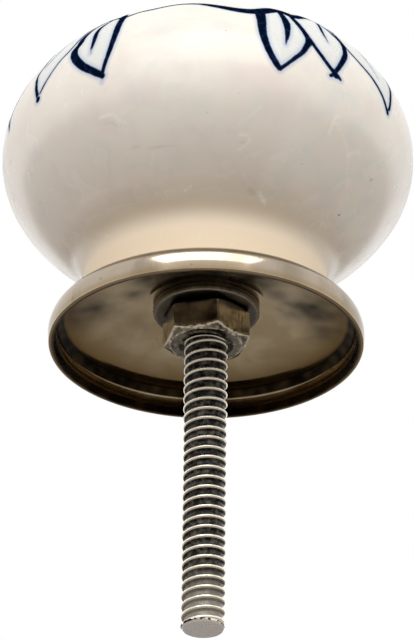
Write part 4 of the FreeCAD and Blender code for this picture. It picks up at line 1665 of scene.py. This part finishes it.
@dataclass
class ThroughBolt:
    """The bolt: a low round head on the crown, a plain shank and the threaded stud."""

    reach: Reach
    nut_face: float
    seat: float
    # The thread's real spacing and depth, with its crest and root widths as shares of a turn's height
    crest_radius: float = 2.0
    root_radius: float = 1.68
    shank_radius: float = 1.75
    pitch: float = 0.9915
    first_crest: float = -0.33
    chamfer: float = 0.2
    head_radius: float = 4.4
    head_edge: float = 0.5
    columns: int = 96
    rows_per_turn: int = 22
    crest_half: float = 0.03
    root_start: float = 0.36

    def lengths(self) -> dict[str, float]:
        """The thread's lengths in millimetres, by the names of the tree's inputs."""
        return {
            "Pitch": self.pitch,
            "Crest Radius": self.crest_radius,
            "Root Radius": self.root_radius,
            "First Crest": self.first_crest,
            "Thread Top": self.nut_face + 0.1,
            "Run-out": 0.25,
            "Stud End": self.reach.low,
            "Lead-in": 0.7,
        }

    def shares(self) -> dict[str, float]:
        """How far the crest and the root reach from the crest's middle, as shares of a turn's height."""
        return {"Crest Half": self.crest_half, "Root Start": self.root_start}

    def blank(self) -> bpy.types.Mesh:
        """Turn the plain bolt with rows close enough together for the thread.

        Returns:
            The blank's mesh, closed at both poles.
        """
        end = self.reach.low
        dome_rise = self.reach.high - self.seat - self.head_edge
        ball = (self.head_radius**2 + dome_rise**2) / (2 * dome_rise)
        dome = arc_points(
            (0.0, self.reach.high - ball), ball, math.acos(self.head_radius / ball), math.pi / 2, 0.3
        )
        tip = [(0.0, end), (self.crest_radius - self.chamfer, end), (self.crest_radius, end + self.chamfer)]
        stud_top = self.nut_face + 0.1
        stud = [(self.crest_radius, stud_top)]
        upper = [
            (self.shank_radius, stud_top + 0.2),
            (self.shank_radius, self.seat),
            (self.head_radius - 0.12, self.seat),
            (self.head_radius, self.seat + 0.12),
            (self.head_radius, self.seat + self.head_edge),
            *dome[1:],
        ]
        fine = self.pitch / self.rows_per_turn
        rows = np.vstack(
            (
                even_rows(tip, 0.12, closed=False)[:-1],
                even_rows(tip[-1:] + stud, fine, closed=False)[:-1],
                even_rows(stud + upper[:1], 0.1, closed=False)[:-1],
                even_rows(upper, 1.2, closed=False),
            )
        )
        rows[-1, 0] = 0.0
        return skin_mesh("plain_blank", turned(rows, self.columns), poles=True)

    def thread_tree(self, material: bpy.types.Material) -> bpy.types.NodeTree:
        """Build the tree that cuts a right-hand thread into the blank's skin.

        Args:
            material: The finish that the tree sets.

        Returns:
            The tree, with its lengths as named inputs in metres and its shares of a turn as plain ones.
        """
        tree = bpy.data.node_groups.new("right_hand_thread", "GeometryNodeTree")
        add = partial(add_node, tree)
        tree.interface.new_socket("Geometry", in_out="INPUT", socket_type="NodeSocketGeometry")
        for name in (*self.lengths(), *self.shares()):
            tree.interface.new_socket(name, in_out="INPUT", socket_type="NodeSocketFloat")
        tree.interface.new_socket("Geometry", in_out="OUTPUT", socket_type="NodeSocketGeometry")
        given = add("NodeGroupInput").node.outputs
        position = add("GeometryNodeInputPosition")
        parts = add("ShaderNodeSeparateXYZ", {0: position}).node.outputs
        radius = add(
            "ShaderNodeMath",
            [
                add(
                    "ShaderNodeMath",
                    [
                        add("ShaderNodeMath", [parts[0], parts[0]], operation="MULTIPLY"),
                        add("ShaderNodeMath", [parts[1], parts[1]], operation="MULTIPLY"),
                    ],
                    operation="ADD",
                ),
            ],
            operation="SQRT",
        )
        turns = add(
            "ShaderNodeMath",
            [add("ShaderNodeMath", [parts[1], parts[0]], operation="ARCTAN2"), 2 * math.pi],
            operation="DIVIDE",
        )
        climbed = add(
            "ShaderNodeMath",
            [add("ShaderNodeMath", [parts[2], given["First Crest"]], operation="SUBTRACT"), given["Pitch"]],
            operation="DIVIDE",
        )
        phase = add(
            "ShaderNodeMath",
            [
                add(
                    "ShaderNodeMath",
                    [climbed, add("ShaderNodeMath", [turns, 0.25], operation="ADD")],
                    operation="SUBTRACT",
                ),
            ],
            operation="FRACT",
        )
        from_crest = add("ShaderNodeMath", [phase, 0.5], operation="PINGPONG")
        groove = add(
            "ShaderNodeMapRange",
            {0: from_crest, 1: given["Crest Half"], 2: given["Root Start"]},
            interpolation_type="SMOOTHSTEP",
        )
        top = given["Thread Top"]
        fade = add(
            "ShaderNodeMapRange",
            {
                0: parts[2],
                1: add("ShaderNodeMath", [top, given["Run-out"]], operation="SUBTRACT"),
                2: top,
                3: 1.0,
                4: 0.0,
            },
        )
        lead_in = add(
            "ShaderNodeMapRange",
            {
                0: parts[2],
                1: given["Stud End"],
                2: add("ShaderNodeMath", [given["Stud End"], given["Lead-in"]], operation="ADD"),
            },
        )
        cut = add(
            "ShaderNodeMath",
            [add("ShaderNodeMath", [groove, fade], operation="MULTIPLY"), lead_in],
            operation="MULTIPLY",
        )
        deep = add("ShaderNodeMath", [given["Crest Radius"], given["Root Radius"]], operation="SUBTRACT")
        floor = add(
            "ShaderNodeMath",
            [given["Crest Radius"], add("ShaderNodeMath", [cut, deep], operation="MULTIPLY")],
            operation="SUBTRACT",
        )
        below_top = add("ShaderNodeMath", [parts[2], top], operation="LESS_THAN")
        wanted = add("ShaderNodeMath", [radius, floor], operation="MINIMUM")
        share = add(
            "ShaderNodeMath",
            [wanted, add("ShaderNodeMath", [radius, 0.01 * MM], operation="MAXIMUM")],
            operation="DIVIDE",
        )
        moved = add(
            "ShaderNodeCombineXYZ",
            {
                0: add("ShaderNodeMath", [parts[0], share], operation="MULTIPLY"),
                1: add("ShaderNodeMath", [parts[1], share], operation="MULTIPLY"),
                2: parts[2],
            },
        )
        on_side = add("ShaderNodeMath", [radius, given["Root Radius"]], operation="GREATER_THAN")
        kept = add(
            "ShaderNodeMath",
            [add("ShaderNodeMath", [cut, below_top], operation="MULTIPLY"), on_side],
            operation="MULTIPLY",
        )
        noted = add(
            "GeometryNodeStoreNamedAttribute",
            {"Geometry": given["Geometry"], "Name": "groove", "Value": kept},
            data_type="FLOAT",
            domain="POINT",
        )
        threaded = add(
            "GeometryNodeSetPosition", {"Geometry": noted, "Selection": below_top, "Position": moved}
        )
        real = add("GeometryNodeRealizeInstances", {0: threaded})
        dressed = add("GeometryNodeSetMaterial", {"Geometry": real, "Material": material})
        add("NodeGroupOutput", {0: dressed})
        return tree

    def build(self) -> bpy.types.Object:
        """Make the bolt: the tree threads the blank, and the result is kept as a plain mesh.

        Returns:
            The bolt's object.
        """
        material = ThreadFinish().material(self.reach.low)
        tree = self.thread_tree(material)
        worker = bpy.data.objects.new("bolt_blank", self.blank())
        bpy.context.scene.collection.objects.link(worker)
        modifier = worker.modifiers.new("thread", "NODES")
        modifier.node_group = tree
        sizes = {name: length * MM for name, length in self.lengths().items()} | self.shares()
        for item in tree.interface.items_tree:
            if item.in_out == "INPUT" and item.name in sizes:
                modifier[item.identifier] = sizes[item.name]
        bpy.context.view_layer.update()
        evaluated = worker.evaluated_get(bpy.context.evaluated_depsgraph_get())
        mesh = bpy.data.meshes.new_from_object(evaluated)
        mesh.name = "threaded_bolt"
        blank = worker.data
        bpy.data.objects.remove(worker)
        bpy.data.meshes.remove(blank)
        mesh.shade_smooth()
        mesh.set_sharp_from_angle(angle=math.radians(50))
        return place_piece(mesh, material, "through_bolt")


@dataclass
class Stage:
    """The pale floor below the stud, the soft studio light and the camera that looks up at the knob."""

    stud_end: float
    # The stud's end is held just clear of the floor, so that light reaches its cut face
    floor_gap: float = 6.0
    elevation: float = 28.65
    distance: float = 432.0
    aim_height: float = 2.73
    aim_across: float = 0.066
    roll: float = 0.6
    focal_pixels: float = 4710.0
    image_height: int = 640
    sensor: float = 36.0
    floor_half: float = 3000.0
    horizon_light: float = 1.2
    overhead_light: float = 0.15
    key_elevation: float = 47.0
    key_distance: float = 800.0
    key_width: float = 880.0
    key_depth: float = 600.0
    front_light: float = 1.2
    back_light: float = 1.55
    key_radiance: float = 3.0

    def floor(self) -> None:
        """Lay a pale floor that is open to a camera below it, so that the knob shows from beneath."""
        half, height = self.floor_half * MM, (self.stud_end - self.floor_gap) * MM
        mesh = bpy.data.meshes.new("floor")
        corners = [(-half, -half, height), (half, -half, height), (half, half, height), (-half, half, height)]
        mesh.from_pydata(corners, [], [(0, 1, 2, 3)])
        material, tree = new_material("pale_matt_floor")
        add = partial(add_node, tree)
        below = add("ShaderNodeNewGeometry", out="Backfacing")
        paper = add("ShaderNodeBsdfDiffuse", {"Color": linear(Hue.FLOOR)})
        clear = add("ShaderNodeBsdfTransparent")
        shader = add("ShaderNodeMixShader", {0: below, 1: paper, 2: clear})
        add("ShaderNodeOutputMaterial", {"Surface": shader})
        mesh.materials.append(material)
        floor = bpy.data.objects.new("floor", mesh)
        bpy.context.scene.collection.objects.link(floor)

    def world(self) -> None:
        """Light the knob from all round with plain white that is softer overhead."""
        world = bpy.data.worlds.new("white_surround")
        world.use_nodes = True
        tree = world.node_tree
        tree.nodes.clear()
        add = partial(add_node, tree)
        paths = add("ShaderNodeLightPath").node.outputs
        seen = add("ShaderNodeMath", [paths["Is Camera Ray"], paths["Is Glossy Ray"]], operation="MAXIMUM")
        seen = add("ShaderNodeMath", [seen, paths["Is Transmission Ray"]], operation="MAXIMUM")
        direction = add("ShaderNodeTexCoord", out="Generated")
        parts = add("ShaderNodeSeparateXYZ", {0: direction}).node.outputs
        ambient = add(
            "ShaderNodeMapRange", [parts[2], 0.0, 0.8, self.horizon_light, self.overhead_light], **EASED
        )
        round_it = add(
            "ShaderNodeMapRange", [parts[1], -0.9, 0.3, self.front_light, self.back_light], **EASED
        )
        ambient = add("ShaderNodeMath", [ambient, round_it], operation="MULTIPLY")
        strength = add("ShaderNodeMath", [seen, ambient], operation="MAXIMUM")
        light = add("ShaderNodeBackground", {"Color": (1.0, 1.0, 1.0, 1.0), "Strength": strength})
        add("ShaderNodeOutputWorld", {"Surface": light})
        bpy.context.scene.world = world

    def key(self) -> None:
        """Hang the large soft lamp in front of the knob and above it."""
        data = bpy.data.lights.new("key", "AREA")
        data.shape = "RECTANGLE"
        data.size, data.size_y = self.key_width * MM, self.key_depth * MM
        data.energy = self.key_radiance * math.pi * data.size * data.size_y
        lamp = bpy.data.objects.new("key", data)
        bpy.context.scene.collection.objects.link(lamp)
        angle = math.radians(self.key_elevation)
        towards = Vector((0.0, -math.cos(angle), math.sin(angle)))
        lamp.location = towards * self.key_distance * MM
        lamp.rotation_euler = towards.to_track_quat("Z", "Y").to_euler()

    def camera(self) -> None:
        """Set the camera below the knob and in front of it, as the photo was taken."""
        angle, roll = math.radians(self.elevation), math.radians(self.roll)
        back = Vector((0.0, -math.cos(angle), -math.sin(angle)))
        up = Vector((0.0, -math.sin(angle), math.cos(angle)))
        right = Vector((1.0, 0.0, 0.0))
        rolled_up = up * math.cos(roll) - right * math.sin(roll)
        rolled_right = right * math.cos(roll) + up * math.sin(roll)
        data = bpy.data.cameras.new("camera")
        data.sensor_fit = "VERTICAL"
        data.sensor_height = self.sensor
        data.lens = self.focal_pixels / self.image_height * self.sensor
        data.clip_end = 100.0
        camera = bpy.data.objects.new("camera", data)
        bpy.context.scene.collection.objects.link(camera)
        aim = Vector((self.aim_across, 0.0, self.aim_height)) * MM
        turn = Matrix((rolled_right, rolled_up, back)).transposed().to_4x4()
        camera.matrix_world = Matrix.Translation(aim + back * self.distance * MM) @ turn
        bpy.context.scene.camera = camera

    def build(self) -> None:
        """Set up the whole stage."""
        self.floor()
        self.world()
        self.key()
        self.camera()
        bpy.context.scene.view_settings.view_transform = "Standard"


def main() -> None:
    """Build the knob's pieces in order and report each one."""
    logging.basicConfig(level=logging.INFO, format="%(message)s")
    ball, cup = Reach.of("ceramic_ball"), Reach.of("base_cup")
    washer, nut, bolt = Reach.of("flat_washer"), Reach.of("hex_nut"), Reach.of("through_bolt")
    drawn_cup = BaseCup(cup)
    fall = math.tan(math.radians(drawn_cup.floor_slope))
    foot_inside = CeramicBall.neck_radius - CeramicBall.foot_width
    foot_rise = cup.high - (foot_inside - drawn_cup.seat_radius) * fall
    pieces = (
        CeramicBall(ball, foot_rise),
        drawn_cup,
        FlatWasher(washer),
        HexNut(nut),
        ThroughBolt(bolt, nut_face=nut.low, seat=ball.high),
    )
    for piece in pieces:
        made = piece.build()
        LOG.info("%s: %d faces", made.name, len(made.data.polygons))
    Stage(stud_end=bolt.low).build()


if __name__ == "__main__":
    main()
